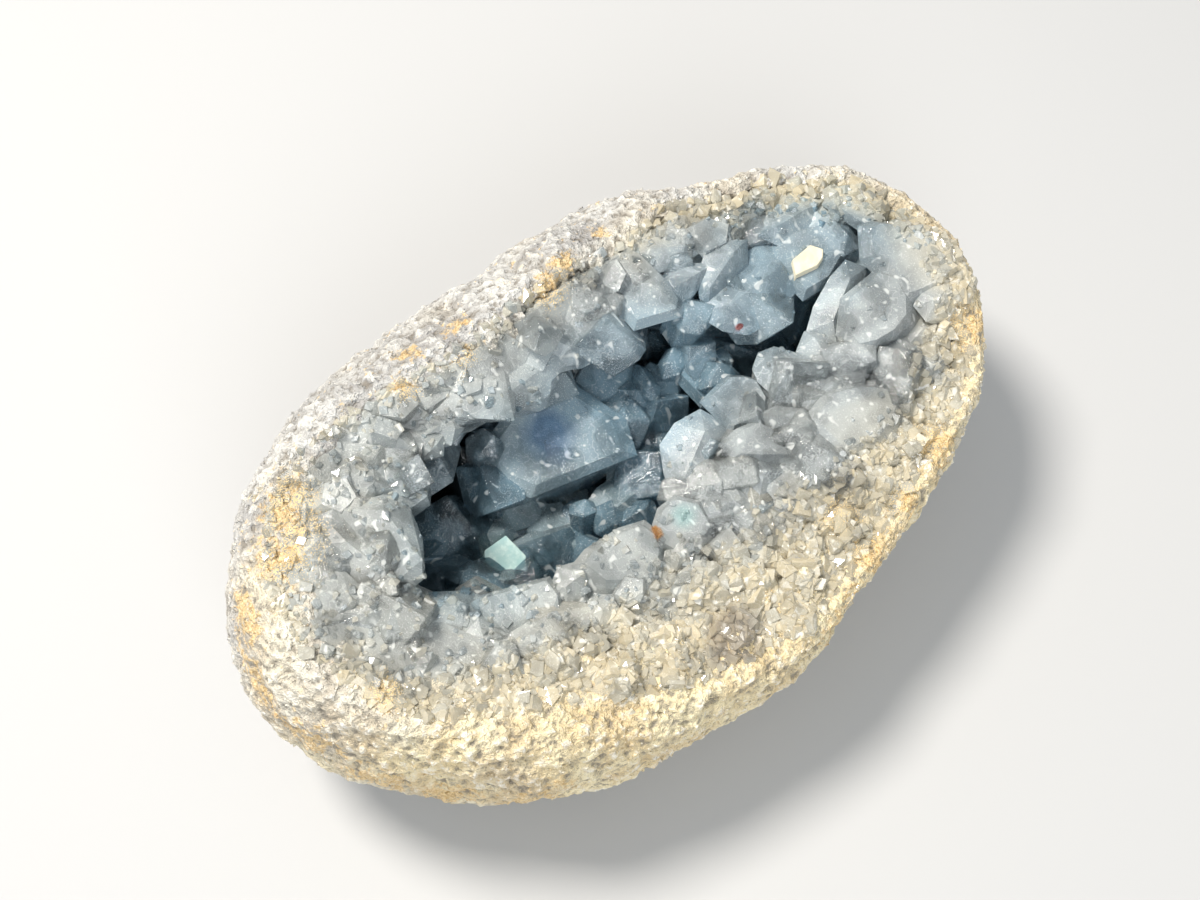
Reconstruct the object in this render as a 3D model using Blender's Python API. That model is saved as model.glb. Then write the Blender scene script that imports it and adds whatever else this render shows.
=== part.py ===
"""Celestite geode: an egg-shaped stone nodule broken open, lined with blocky blue crystals.

Units in the tables are millimetres; the scene itself is in metres.  The long axis lies
along X, +Z is up, and the origin is on the flat spot the stone rests on, under the middle
of its box.
"""
import math
import random

import bmesh
import bpy
import numpy as np
from mathutils import Vector, noise

MM = 0.001

# Shape of the nodule, read every 15 degrees round the middle, from +X towards +Y:
# widest radius, rim radius, rim height, inner edge radius, cavity wall radius, rim width.
SECTION = (
    (61.7, 57.4, 40.0, 42.0, 48.0, 2.6),
    (58.4, 52.0, 42.0, 36.0, 44.0, 3.0),
    (46.8, 41.2, 44.0, 22.0, 32.0, 3.4),
    (42.0, 33.0, 46.0, 16.5, 26.0, 3.4),
    (41.6, 26.6, 47.5, 13.5, 23.5, 3.4),
    (38.8, 24.2, 49.0, 12.0, 22.5, 3.4),
    (37.0, 23.2, 50.0, 11.0, 22.0, 3.4),
    (38.4, 23.4, 50.5, 11.5, 22.6, 3.4),
    (43.9, 26.0, 51.0, 12.5, 25.5, 3.4),
    (50.6, 32.0, 51.0, 14.5, 30.5, 3.4),
    (57.7, 48.2, 50.0, 29.0, 40.0, 3.4),
    (64.5, 57.0, 48.0, 36.5, 46.0, 3.4),
    (66.4, 58.4, 47.0, 42.5, 49.0, 3.4),
    (61.0, 55.8, 43.5, 38.0, 46.0, 3.4),
    (55.2, 46.0, 39.8, 28.0, 38.0, 3.2),
    (50.2, 42.4, 36.4, 21.0, 31.0, 2.8),
    (43.8, 39.9, 34.2, 16.5, 26.5, 2.2),
    (41.0, 39.0, 32.4, 13.5, 24.0, 1.8),
    (40.6, 39.4, 31.5, 12.0, 22.5, 1.6),
    (38.4, 37.4, 32.0, 11.5, 22.0, 1.6),
    (40.4, 39.4, 32.5, 11.5, 22.0, 1.6),
    (45.2, 44.2, 33.5, 12.5, 23.5, 1.6),
    (53.2, 52.0, 35.5, 16.0, 28.0, 1.8),
    (58.8, 57.2, 38.0, 24.0, 37.0, 2.2),
)
COLUMNS = 48
BASE_RADIUS = 15.0
WIDEST_HEIGHT = 24.0
WALL = 5.0
CAVITY_FLOOR = 6.5
CRUST_GAP = 0.45
LIP_DROP = 2.4
# The broken face is a tilted plane: its height in the middle, then its rise in x and y.
SLOPE = (43.3, -0.06, 0.306)
CRUST_FLOOR = 16.0

# A point seen at one height in the plan view moves along the line of sight when it
# really lies at another height.
SIGHT_SHIFT = (0.300, 0.357)

# Crystals seen from above: outline points (x, y) as read at the height READ, then the
# true height of the outline's middle, the slope of its face in x and y, the cap
# (flat table, ridge or point), the cap's rise, and how deep the crystal is rooted.
FLOOR_READ = 28.0
FLOOR_CRYSTALS = (
    # the big blue block and its left shoulder
    (((-16.8, 14.8), (-12.9, 15.3), (-9.1, 16.9), (-4.5, 15.0), (-0.2, 14.0), (0.7, 9.4),
      (1.7, 5.9), (-0.6, 1.0), (-5.2, 2.5), (-10.2, 4.0), (-15.2, 5.2), (-17.2, 9.4)),
     33.5, (0.10, 0.22), "table", 0.7, 16.0),
    (((-21.1, 11.3), (-20.2, 12.8), (-18.3, 14.6), (-15.8, 14.8), (-16.0, 8.2),
      (-19.4, 8.4)), 31.0, (0.2, 0.1), "ridge", 1.6, 12.0),
    # grey blocks to the right of the big one
    (((0.2, 15.2), (3.6, 16.7), (5.5, 17.7), (9.8, 17.5), (9.8, 10.0), (5.5, 9.0),
      (0.4, 9.8)), 32.5, (-0.05, 0.3), "table", 1.1, 12.0),
    (((1.2, 9.6), (5.6, 9.2), (4.6, 4.6), (3.0, 2.8), (1.0, 4.2)),
     31.5, (0.2, 0.3), "point", 1.8, 10.0),
    (((5.7, 9.6), (11.7, 10.0), (13.2, 7.8), (13.4, 5.2), (10.9, 2.8), (5.2, 4.8)),
     32.0, (0.0, 0.35), "ridge", 1.6, 12.0),
    (((4.4, 4.8), (7.8, 4.6), (10.2, 3.0), (8.4, 1.6), (5.5, 0.9), (1.7, 1.3),
      (1.3, 2.5)), 29.5, (0.1, 0.2), "ridge", 1.5, 10.0),
    (((-4.1, 0.9), (1.0, 1.6), (5.2, 0.9), (6.9, 0.2), (4.0, -2.2), (0.2, -2.3),
      (-5.2, -0.6)), 27.5, (0.0, 0.2), "ridge", 1.2, 8.0),
    # dark grey crystals in front of the big block
    (((-11.4, -2.2), (-7.2, -0.9), (0.6, -1.6), (3.6, -2.5), (2.1, -5.6), (-0.2, -8.7),
      (-5.2, -9.4), (-7.9, -9.0), (-10.4, -5.4)), 26.0, (-0.1, 0.25), "ridge", 2.0, 10.0),
    (((-17.9, 0.5), (-15.6, 1.9), (-13.9, 0.9), (-13.3, -2.2), (-12.5, -5.0),
      (-16.8, -5.2), (-19.5, -5.4), (-20.2, -2.9), (-19.8, 0.7)),
     24.5, (-0.05, 0.3), "ridge", 1.4, 9.0),
    (((-15.2, 2.5), (-11.4, 1.7), (-9.5, 0.2), (-10.2, -1.6), (-12.4, -4.4),
      (-13.9, -0.4)), 22.5, (0.1, 0.1), "ridge", 1.0, 8.0),
    (((-16.9, -5.0), (-13.9, -5.4), (-13.0, -8.2), (-15.5, -9.2), (-17.4, -7.4)),
     24.0, (0.1, 0.4), "point", 1.6, 8.0),
    # turquoise-faced crystal and its neighbours
    (((-28.9, 1.5), (-27.5, 1.9), (-23.9, 1.4), (-23.4, -2.5), (-25.0, -4.8),
      (-27.0, -3.2), (-28.7, -0.6)), 24.5, (0.25, 0.3), "table", 0.6, 8.0),
    (((-23.9, 0.9), (-20.6, 0.5), (-20.2, -0.8), (-21.4, -3.0), (-23.6, -3.2)),
     23.5, (0.1, 0.3), "table", 0.8, 8.0),
    (((-23.6, -3.4), (-21.6, -3.0), (-19.8, -4.5), (-20.2, -7.0), (-23.6, -7.6),
      (-25.2, -5.4)), 24.0, (0.0, 0.35), "ridge", 1.1, 8.0),
    (((-29.1, 5.5), (-27.2, 7.3), (-25.0, 6.5), (-22.9, 5.2), (-21.8, 3.6),
      (-22.2, 1.5), (-24.5, 1.1), (-28.7, 1.7)), 25.5, (0.1, 0.3), "ridge", 1.4, 9.0),
    (((-26.8, 9.4), (-24.8, 11.7), (-22.5, 12.5), (-21.0, 10.9), (-20.6, 8.6),
      (-21.4, 5.5), (-22.7, 4.8), (-24.3, 6.1), (-26.4, 7.8)),
     23.0, (0.0, 0.35), "ridge", 1.5, 8.0),
    (((-21.8, 5.5), (-20.6, 7.1), (-18.3, 8.0), (-16.6, 6.6), (-15.6, 4.8),
      (-15.6, 2.5), (-18.3, 0.9), (-21.4, 2.3), (-22.2, 4.2)),
     26.5, (0.1, 0.3), "ridge", 1.5, 10.0),
    (((-34.9, 9.2), (-31.2, 9.9), (-27.9, 6.7), (-29.3, 5.0), (-31.2, 3.8),
      (-34.5, 5.3), (-38.3, 5.5)), 23.5, (0.2, 0.2), "ridge", 1.4, 8.0),
    (((-39.1, 5.0), (-34.5, 5.7), (-31.0, 4.2), (-29.1, 1.9), (-29.9, 0.3),
      (-33.3, 0.5), (-36.4, 1.5), (-39.5, 3.2)), 25.5, (0.1, 0.3), "ridge", 1.3, 8.0),
    (((-33.5, 0.9), (-30.6, -0.1), (-29.5, -2.2), (-29.7, -4.3), (-32.5, -3.1),
      (-33.6, -0.8)), 26.0, (0.2, 0.3), "ridge", 1.0, 8.0),
    (((-29.5, -1.0), (-26.4, -2.3), (-25.0, -5.0), (-20.6, -6.6), (-23.3, -8.4),
      (-29.5, -5.2)), 25.0, (-0.1, 0.4), "ridge", 1.0, 8.0),
    (((-40.2, 3.2), (-37.2, 2.1), (-33.9, -0.6), (-32.3, -3.0), (-34.8, -4.6),
      (-38.3, -4.9), (-40.5, -2.4)), 33.0, (-0.3, 0.1), "ridge", 1.6, 10.0),
)

RIGHT_READ = 40.0
RIGHT_CRYSTALS = (
    # overhanging blocks along the far rim
    (((10.0, 18.2), (13.8, 22.0), (15.8, 22.6), (17.9, 20.8), (18.2, 14.0),
      (17.5, 10.6), (16.0, 9.4), (13.0, 10.6), (9.8, 11.8)),
     44.0, (0.0, 0.22), "table", 0.8, 10.0),
    (((17.3, 14.5), (20.6, 16.4), (24.8, 12.4), (22.5, 11.2), (18.8, 10.1),
      (17.3, 10.6)), 43.5, (0.1, 0.25), "ridge", 1.0, 9.0),
    (((20.8, 9.4), (22.3, 11.6), (25.4, 13.9), (28.8, 14.1), (31.5, 12.0),
      (29.2, 9.0), (24.0, 7.8), (21.2, 8.0)), 43.0, (0.0, 0.4), "ridge", 1.2, 10.0),
    (((18.0, 20.4), (21.0, 22.0), (24.6, 19.6), (25.0, 15.4), (21.2, 15.6),
      (18.4, 16.6)), 45.0, (-0.1, 0.2), "ridge", 1.2, 10.0),
    (((25.6, 19.4), (29.6, 18.8), (31.6, 15.8), (29.0, 13.4), (25.4, 14.2)),
     44.5, (0.0, 0.3), "table", 0.8, 10.0),
    # blue crystals of the far right wall
    (((19.2, 7.4), (22.0, 9.2), (25.4, 10.3), (30.0, 9.9), (33.2, 10.1), (34.9, 8.2),
      (35.0, 4.6), (32.7, 1.6), (29.2, 0.8), (26.9, 0.1), (22.7, 0.6), (20.4, 3.2)),
     40.5, (-0.05, 0.3), "ridge", 1.6, 14.0),
    (((32.9, 7.2), (35.4, 8.8), (38.5, 8.9), (41.2, 7.6), (43.8, 6.8), (44.4, 3.4),
      (41.9, 0.9), (37.7, -0.8), (33.1, -0.3)), 40.5, (0.1, 0.32), "table", 0.9, 13.0),
    (((41.0, 7.2), (43.0, 9.6), (46.4, 9.6), (46.8, 4.8), (45.0, 1.0), (42.2, 1.4)),
     41.5, (-0.2, 0.2), "ridge", 1.2, 12.0),
    (((34.6, 11.6), (38.0, 13.4), (42.4, 12.8), (44.6, 10.2), (41.4, 7.6),
      (36.0, 8.4)), 43.0, (0.0, 0.3), "ridge", 1.2, 12.0),
    (((45.6, 9.2), (48.4, 10.4), (51.0, 8.0), (52.4, 4.2), (50.0, 1.6), (47.0, 2.6)),
     42.5, (-0.1, 0.2), "table", 0.9, 12.0),
    # dark crystals deep under the overhang
    (((9.6, 11.6), (13.0, 11.0), (16.6, 9.8), (18.6, 6.8), (16.0, 4.6), (12.4, 5.2),
      (9.6, 6.6)), 25.0, (-0.1, 0.3), "ridge", 1.6, 9.0),
    (((15.8, 4.3), (17.7, 6.4), (20.0, 5.1), (21.2, 2.2), (24.9, 0.6), (25.2, -3.4),
      (21.9, -4.2), (18.1, -5.1), (16.0, -3.8)), 27.0, (0.1, 0.3), "ridge", 2.0, 10.0),
    (((24.6, 0.4), (31.5, 1.0), (36.6, -0.2), (36.0, -2.4), (31.5, -4.2),
      (28.5, -5.2), (24.2, -4.6)), 29.0, (0.0, 0.3), "ridge", 1.8, 10.0),
    (((9.6, 4.5), (12.3, 5.3), (15.2, 3.7), (16.7, 1.2), (16.3, -1.7), (15.0, -4.2),
      (12.3, -4.4), (9.6, -4.2)), 33.0, (0.0, 0.3), "table", 1.2, 12.0),
    # pale blue crystals of the near right side
    (((9.6, -4.0), (12.3, -3.6), (15.0, -3.4), (16.6, -4.7), (17.7, -6.4),
      (16.9, -9.7), (14.2, -11.8), (9.8, -10.2)), 38.5, (0.0, 0.25), "table", 0.9, 14.0),
    (((19.0, -4.9), (21.2, -3.6), (23.5, -4.3), (24.8, -6.5), (26.9, -9.5),
      (25.4, -12.4), (21.5, -13.2), (18.6, -10.5), (18.3, -6.8)),
     39.0, (-0.1, 0.25), "ridge", 1.3, 14.0),
    (((25.9, -6.9), (28.8, -5.3), (30.6, -7.0), (31.0, -9.7), (29.6, -12.4),
      (26.5, -14.0), (25.7, -10.5)), 38.0, (0.1, 0.2), "ridge", 1.2, 12.0),
    (((29.8, -5.1), (33.1, -2.8), (37.7, -0.9), (41.0, -0.3), (42.4, -3.0),
      (40.0, -5.1), (36.5, -6.1), (33.1, -8.6), (31.3, -9.9)),
     39.5, (0.15, 0.25), "ridge", 1.4, 14.0),
    (((32.5, -8.4), (36.5, -4.7), (43.5, -4.5), (44.9, -6.7), (44.0, -10.3),
      (41.9, -12.8), (38.5, -13.6), (35.0, -13.2), (32.4, -11.9)),
     41.0, (0.1, 0.25), "table", 1.1, 14.0),
    (((43.6, -1.6), (46.9, 2.4), (48.8, 1.8), (52.7, -1.9), (55.0, -5.7),
      (54.6, -9.5), (53.1, -11.7), (48.8, -12.0), (45.4, -11.3), (43.5, -10.6)),
     42.0, (-0.05, 0.22), "table", 1.2, 14.0),
    (((44.2, -12.2), (46.2, -11.1), (48.8, -11.8), (50.2, -13.1), (48.1, -15.1),
      (45.8, -15.9), (44.0, -15.1)), 41.0, (0.1, 0.3), "point", 1.2, 8.0),
    (((34.2, -15.5), (40.0, -13.6), (43.7, -14.1), (44.6, -17.4), (42.3, -18.6),
      (36.9, -19.6), (33.1, -19.2)), 37.0, (0.2, 0.1), "ridge", 1.2, 8.0),
    (((50.0, -12.6), (53.4, -11.4), (54.4, -14.0), (51.8, -16.6), (48.6, -16.0)),
     39.5, (0.0, 0.2), "table", 0.8, 8.0),
)

NEAR_READ = 38.0
NEAR_CRYSTALS = (
    # pale crystals along the near lip
    (((-2.6, -11.7), (-1.2, -8.3), (1.0, -4.9), (4.5, -3.8), (8.4, -4.4), (9.6, -8.0),
      (7.2, -12.0), (3.0, -13.4), (-0.5, -13.0)), 37.6, (0.03, 0.28), "ridge", 1.6, 15.0),
    (((7.6, -10.2), (11.0, -10.0), (13.8, -10.8), (14.8, -14.3), (14.9, -17.5),
      (13.6, -17.9), (10.2, -15.1), (7.8, -12.8)), 39.0, (-0.15, 0.3), "table", 0.8, 10.0),
    (((14.6, -10.4), (17.6, -10.9), (20.1, -13.6), (19.7, -17.3), (17.6, -19.3),
      (15.2, -18.2), (14.5, -14.3)), 39.0, (0.15, 0.2), "ridge", 1.0, 10.0),
    (((20.0, -12.2), (22.0, -8.8), (24.7, -7.1), (26.7, -9.0), (28.6, -13.6),
      (27.3, -15.6), (21.3, -15.4)), 38.5, (0.0, 0.3), "ridge", 1.2, 12.0),
    (((19.7, -15.3), (25.0, -14.1), (28.5, -15.6), (30.6, -17.3), (34.1, -21.0),
      (31.0, -22.4), (28.4, -24.0), (24.7, -24.0), (20.2, -22.9), (19.5, -18.8)),
     37.5, (-0.05, 0.22), "table", 1.0, 12.0),
    (((27.1, -14.1), (29.9, -11.1), (31.9, -12.0), (33.8, -15.8), (33.4, -18.2),
      (30.6, -17.8)), 36.0, (0.2, 0.2), "ridge", 1.1, 9.0),
    (((33.7, -15.4), (39.5, -13.9), (41.5, -16.5), (39.9, -19.2), (36.2, -20.3),
      (33.0, -18.8)), 37.5, (0.0, 0.3), "ridge", 1.0, 8.0),
    (((30.4, -23.6), (34.2, -21.5), (39.9, -22.1), (38.2, -25.9), (33.0, -26.9)),
     34.5, (0.0, 0.3), "ridge", 1.0, 7.0),
    (((8.5, -18.9), (15.4, -18.3), (17.5, -21.7), (16.7, -25.6), (15.0, -27.3),
      (10.0, -26.9), (8.3, -22.0)), 36.0, (-0.1, 0.25), "ridge", 1.4, 10.0),
    (((2.0, -20.2), (6.5, -19.8), (9.4, -21.0), (10.2, -25.9), (7.6, -29.2),
      (3.7, -28.9), (1.6, -24.0)), 34.5, (0.1, 0.2), "ridge", 1.2, 9.0),
    (((-8.3, -13.7), (-6.0, -12.2), (-3.1, -12.2), (-1.1, -15.0), (-2.0, -19.0),
      (-5.0, -19.9), (-8.9, -18.2), (-9.8, -15.4)), 37.5, (0.1, 0.3), "table", 1.0, 12.0),
    (((-1.8, -15.2), (0.2, -13.9), (2.2, -14.8), (4.9, -15.0), (5.2, -18.7),
      (4.5, -21.2), (-0.2, -21.0), (-3.1, -19.5)), 37.1, (0.04, 0.27), "ridge", 1.2, 11.0),
    (((4.5, -12.6), (7.6, -12.4), (9.9, -14.8), (10.4, -18.9), (5.8, -19.9),
      (4.8, -15.8)), 38.2, (0.05, 0.26), "ridge", 1.1, 12.5),
    (((-9.9, -18.5), (-7.2, -17.1), (-3.9, -17.8), (-3.3, -20.2), (-5.3, -21.4),
      (-9.9, -20.8)), 37.0, (0.1, 0.4), "ridge", 0.9, 8.0),
    (((-5.2, -20.8), (-0.2, -20.4), (-0.3, -23.2), (-1.6, -25.0), (-4.8, -24.2)),
     36.0, (0.1, 0.3), "table", 0.8, 8.0),
    (((0.0, -20.8), (2.8, -21.3), (3.8, -25.4), (2.4, -29.0), (-1.1, -27.7),
      (-1.5, -23.9)), 35.0, (0.1, 0.2), "ridge", 1.0, 8.0),
    (((15.6, -21.8), (20.2, -22.8), (24.9, -24.6), (24.2, -30.8), (18.7, -31.5),
      (15.9, -30.1)), 35.0, (0.0, 0.3), "table", 0.9, 8.0),
    (((24.5, -24.3), (30.2, -25.4), (33.4, -27.6), (28.0, -30.4), (23.8, -30.8)),
     34.5, (0.0, 0.3), "ridge", 0.8, 7.0),
    (((1.5, -30.2), (5.2, -30.2), (4.5, -33.8), (2.8, -34.9), (1.1, -33.6)),
     33.0, (0.1, 0.3), "table", 0.8, 6.0),
    (((8.5, -30.9), (15.4, -30.2), (18.6, -32.8), (13.9, -34.9), (8.5, -34.5)),
     32.5, (0.0, 0.3), "ridge", 0.8, 6.0),
    (((-7.0, -25.1), (-4.4, -24.6), (-0.8, -27.3), (-0.8, -30.2), (-4.0, -30.7),
      (-8.2, -28.2)), 35.0, (0.1, 0.3), "ridge", 0.9, 7.0),
    (((-11.5, -21.4), (-6.4, -21.6), (-5.4, -24.6), (-8.4, -27.0), (-12.6, -25.0)),
     36.0, (0.0, 0.3), "ridge", 0.9, 7.0),
    # blocks of the near left side
    (((-43.4, -1.0), (-38.4, -1.4), (-34.6, -4.4), (-34.0, -6.2), (-37.6, -7.4),
      (-40.0, -9.4), (-42.6, -8.6), (-44.0, -5.0)), 38.5, (-0.1, 0.1), "ridge", 1.6, 12.0),
    (((-40.2, -9.6), (-36.8, -7.8), (-34.3, -6.6), (-34.2, -13.8), (-37.6, -13.6),
      (-40.2, -13.6)), 38.0, (-0.1, 0.3), "ridge", 1.2, 12.0),
    (((-35.0, -6.6), (-33.4, -6.2), (-27.0, -9.4), (-24.8, -10.0), (-25.0, -12.6),
      (-26.8, -15.2), (-30.0, -15.4), (-34.8, -13.8)), 38.0, (0.05, 0.3), "table", 1.1, 13.0),
    (((-25.0, -11.4), (-22.4, -9.8), (-19.8, -11.0), (-19.4, -13.8), (-22.0, -14.8),
      (-24.8, -14.8)), 38.0, (0.0, 0.3), "ridge", 1.0, 11.0),
    (((-20.0, -11.0), (-17.4, -10.4), (-12.4, -10.9), (-9.2, -12.2), (-8.8, -14.6),
      (-10.0, -17.0), (-13.2, -19.8), (-15.8, -18.4), (-19.4, -15.4)),
     38.0, (0.0, 0.4), "table", 0.8, 13.0),
    (((-35.0, -15.6), (-34.0, -13.4), (-32.8, -13.0), (-28.0, -13.8), (-26.2, -16.0),
      (-26.6, -18.4), (-29.5, -19.4), (-33.2, -18.4)), 39.5, (0.0, 0.25), "ridge", 1.2, 9.0),
    (((-33.6, -17.8), (-29.6, -16.8), (-28.8, -20.7), (-30.8, -22.2), (-33.4, -20.2)),
     39.0, (0.1, 0.4), "point", 1.2, 8.0),
    (((-37.4, -16.8), (-35.0, -15.8), (-33.8, -17.5), (-35.0, -19.6), (-36.9, -18.8)),
     39.0, (0.0, 0.3), "ridge", 0.8, 7.0),
    (((-24.6, -17.6), (-22.0, -16.2), (-19.8, -18.0), (-20.2, -20.2), (-23.8, -20.0)),
     38.0, (0.0, 0.3), "point", 1.0, 8.0),
    (((-19.4, -17.8), (-16.4, -16.6), (-14.6, -18.8), (-16.0, -20.4), (-18.8, -20.0)),
     37.0, (0.1, 0.2), "table", 0.7, 8.0),
    (((-20.4, -25.5), (-17.0, -24.7), (-15.6, -27.7), (-19.2, -28.4)),
     36.5, (0.1, 0.2), "point", 0.9, 6.0),
    (((-28.2, -25.3), (-25.4, -24.9), (-25.0, -27.7), (-27.8, -28.2)),
     37.5, (0.1, 0.2), "table", 0.6, 6.0),
    (((-46.6, -7.2), (-44.0, -5.0), (-42.6, -6.4), (-44.0, -9.4), (-45.8, -9.0)),
     40.5, (0.1, 0.2), "point", 1.2, 7.0),
    (((-45.0, -10.2), (-41.6, -10.4), (-40.2, -12.8), (-41.6, -15.0), (-44.2, -15.0)),
     39.5, (0.0, 0.2), "ridge", 1.2, 7.0),
    (((-55.0, -4.0), (-51.8, 2.2), (-49.8, 2.2), (-46.8, -0.8), (-43.8, -1.4),
      (-45.6, -4.0), (-50.0, -4.6)), 42.0, (0.0, 0.1), "ridge", 1.3, 9.0),
)

HIGH_READ = 45.0
HIGH_CRYSTALS = (
    # prisms leaning in over the left end of the cavity
    (((-46.0, 10.8), (-43.4, 12.2), (-41.3, 7.4), (-40.8, 2.0), (-43.5, 0.8),
      (-46.0, 2.7)), 45.5, (-0.15, 0.35), "ridge", 1.8, 12.0),
    (((-52.7, 5.0), (-50.0, 7.7), (-46.6, 6.7), (-46.3, 2.0), (-49.0, 0.3),
      (-52.2, 2.0)), 45.5, (0.1, 0.3), "ridge", 1.3, 10.0),
    (((-49.4, 1.2), (-44.0, 1.2), (-41.8, -1.5), (-43.5, -3.9), (-47.0, -3.7),
      (-49.2, -1.5)), 44.0, (-0.1, 0.45), "ridge", 1.3, 10.0),
    (((-41.0, 13.2), (-36.0, 11.2), (-34.3, 8.0), (-35.8, 3.5), (-38.0, 0.3),
      (-39.2, -0.7), (-41.2, 1.2)), 45.5, (-0.2, 0.3), "ridge", 1.9, 14.0),
    (((-35.4, 12.0), (-33.0, 16.7), (-30.3, 12.2), (-30.0, 9.5), (-32.0, 7.1),
      (-34.4, 8.3)), 44.5, (-0.1, 0.35), "ridge", 1.4, 12.0),
    (((-32.7, 24.2), (-29.0, 23.2), (-26.8, 18.0), (-28.3, 14.3), (-31.0, 16.6),
      (-33.4, 20.0)), 47.0, (0.0, 0.15), "ridge", 1.4, 12.0),
    (((-29.2, 18.6), (-25.5, 18.6), (-23.8, 14.2), (-26.0, 11.8), (-28.8, 13.2)),
     45.0, (0.1, 0.3), "ridge", 1.2, 12.0),
    (((-25.4, 18.4), (-20.8, 17.6), (-21.1, 13.2), (-24.0, 12.3), (-25.2, 15.0)),
     45.0, (0.0, 0.3), "ridge", 1.2, 12.0),
    (((-25.6, 18.6), (-24.8, 20.6), (-23.2, 20.8), (-22.6, 18.8), (-23.6, 17.3)),
     47.5, (0.0, 0.2), "point", 0.9, 5.0),
    (((-40.0, 17.6), (-36.6, 19.4), (-33.6, 17.4), (-34.6, 12.4), (-38.6, 13.2)),
     47.0, (0.0, 0.2), "ridge", 1.2, 10.0),
    # clear wedges and blocks along the far rim
    (((-22.4, 17.6), (-19.0, 20.8), (-12.5, 20.7), (-7.8, 18.7), (-9.0, 16.8),
      (-14.8, 10.2), (-19.0, 17.0)), 46.5, (-0.05, 0.12), "ridge", 1.2, 12.0),
    (((-13.7, 11.5), (-9.0, 15.2), (-5.3, 13.7), (-3.8, 11.0), (-5.3, 7.3),
      (-11.0, 8.7)), 41.5, (0.0, 0.35), "ridge", 1.5, 14.0),
    (((-6.4, 17.0), (-3.0, 19.2), (0.7, 18.2), (0.3, 12.0), (-2.0, 10.8),
      (-5.4, 12.8)), 45.0, (0.0, 0.25), "ridge", 1.5, 12.0),
    (((0.3, 18.2), (3.0, 20.2), (6.0, 19.2), (7.3, 17.0), (6.8, 10.5), (5.0, 8.8),
      (3.3, 9.8), (0.3, 11.8)), 45.0, (0.0, 0.25), "table", 1.0, 12.0),
    (((-18.0, 21.4), (-14.0, 24.0), (-9.4, 22.6), (-9.6, 19.8), (-15.0, 19.8)),
     48.0, (0.0, 0.1), "ridge", 1.0, 8.0),
    (((-7.6, 21.6), (-4.0, 23.6), (-0.6, 21.4), (-1.6, 18.2), (-6.0, 18.2)),
     47.5, (0.0, 0.15), "ridge", 1.1, 8.0),
    (((0.2, 21.6), (3.4, 23.0), (6.2, 21.4), (5.4, 18.8), (1.2, 18.6)),
     47.0, (0.0, 0.15), "point", 1.2, 8.0),
    (((-24.0, 22.2), (-20.4, 23.6), (-17.6, 21.4), (-19.2, 18.4), (-22.8, 18.6)),
     48.5, (0.0, 0.1), "ridge", 1.0, 8.0),
    (((-50.0, 12.6), (-47.0, 14.8), (-44.6, 12.4), (-45.8, 9.2), (-49.4, 9.4)),
     47.0, (0.0, 0.2), "ridge", 1.1, 8.0),
    (((-43.0, 15.8), (-40.6, 18.2), (-37.6, 17.0), (-38.4, 13.4), (-41.6, 12.8)),
     48.0, (0.0, 0.1), "table", 0.7, 8.0),
)

# Smaller crystals on the walls that turn away from the opening: how many, the angles
# they cover, their heights and their half widths.
WALL_CRYSTALS = (
    (12, (15.0, 165.0), (21.0, 37.0), (2.8, 4.2)),
    (8, (165.0, 215.0), (20.0, 34.0), (2.6, 3.9)),
    (10, (215.0, 330.0), (20.0, 29.0), (2.6, 3.9)),
    (6, (-30.0, 15.0), (20.0, 31.0), (2.6, 4.0)),
)
FLOOR_INFILL = 8

# Low blocks that break up the crust between the rim and the lip: how many, the angles
# they cover, how far in from the rim they lie, their half widths and how far they sink.
RIM_BLOCKS = (
    (15, (200.0, 345.0), (0.04, 0.5), (2.8, 4.4), 1.0),
    (9, (20.0, 165.0), (0.15, 0.6), (2.4, 3.4), 2.4),
)
SEED = 41


# Neighbouring crystals grow a little into one another.
OUTLINE_GROWTH = 1.13


def clear_scene():
    for old in list(bpy.data.objects):
        bpy.data.objects.remove(old, do_unlink=True)


def ring_table():
    """Section values at every column, by a smooth closed curve through the readings."""
    rows = np.array(SECTION)
    count = len(rows)
    out = []
    for column in range(COLUMNS):
        place = column * count / COLUMNS
        at = int(place)
        t = place - at
        p0, p1, p2, p3 = (rows[(at + k) % count] for k in (-1, 0, 1, 2))
        out.append(0.5 * (2.0 * p1 + (p2 - p0) * t
                          + (2.0 * p0 - 5.0 * p1 + 4.0 * p2 - p3) * t * t
                          + (3.0 * p1 - p0 - 3.0 * p2 + p3) * t ** 3))
    return np.array(out)


def around(column):
    angle = 2.0 * math.pi * column / COLUMNS
    return np.array((math.cos(angle), math.sin(angle)))


def ring(radii, heights):
    """One closed ring of points from a radius and a height for every column."""
    points = np.zeros((COLUMNS, 3))
    for column in range(COLUMNS):
        points[column, :2] = around(column) * radii[column]
        points[column, 2] = heights[column]
    return points


def lumps(points, size, amount, seed):
    """Move points along their own direction from the stone's middle by soft noise."""
    out = points.copy()
    middle = np.array((0.0, 0.0, WIDEST_HEIGHT))
    for at, point in enumerate(points):
        away = point - middle
        away /= max(np.linalg.norm(away), 1e-6)
        swell = noise.noise(Vector(point / size) + Vector((seed, 0.0, -seed)))
        out[at] = point + away * swell * amount
    return out


def loft(rings, bottom, top):
    """Vertices and faces of a closed skin through the rings, with a pole at each end."""
    verts = [tuple(bottom)]
    for one in rings:
        verts.extend(tuple(point) for point in one)
    verts.append(tuple(top))
    last = len(verts) - 1
    faces = []
    for column in range(COLUMNS):
        after = (column + 1) % COLUMNS
        faces.append((0, 1 + after, 1 + column))
        for level in range(len(rings) - 1):
            low = 1 + level * COLUMNS
            high = low + COLUMNS
            faces.append((low + column, low + after, high + after, high + column))
        low = 1 + (len(rings) - 1) * COLUMNS
        faces.append((low + column, low + after, last))
    return verts, faces


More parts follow.
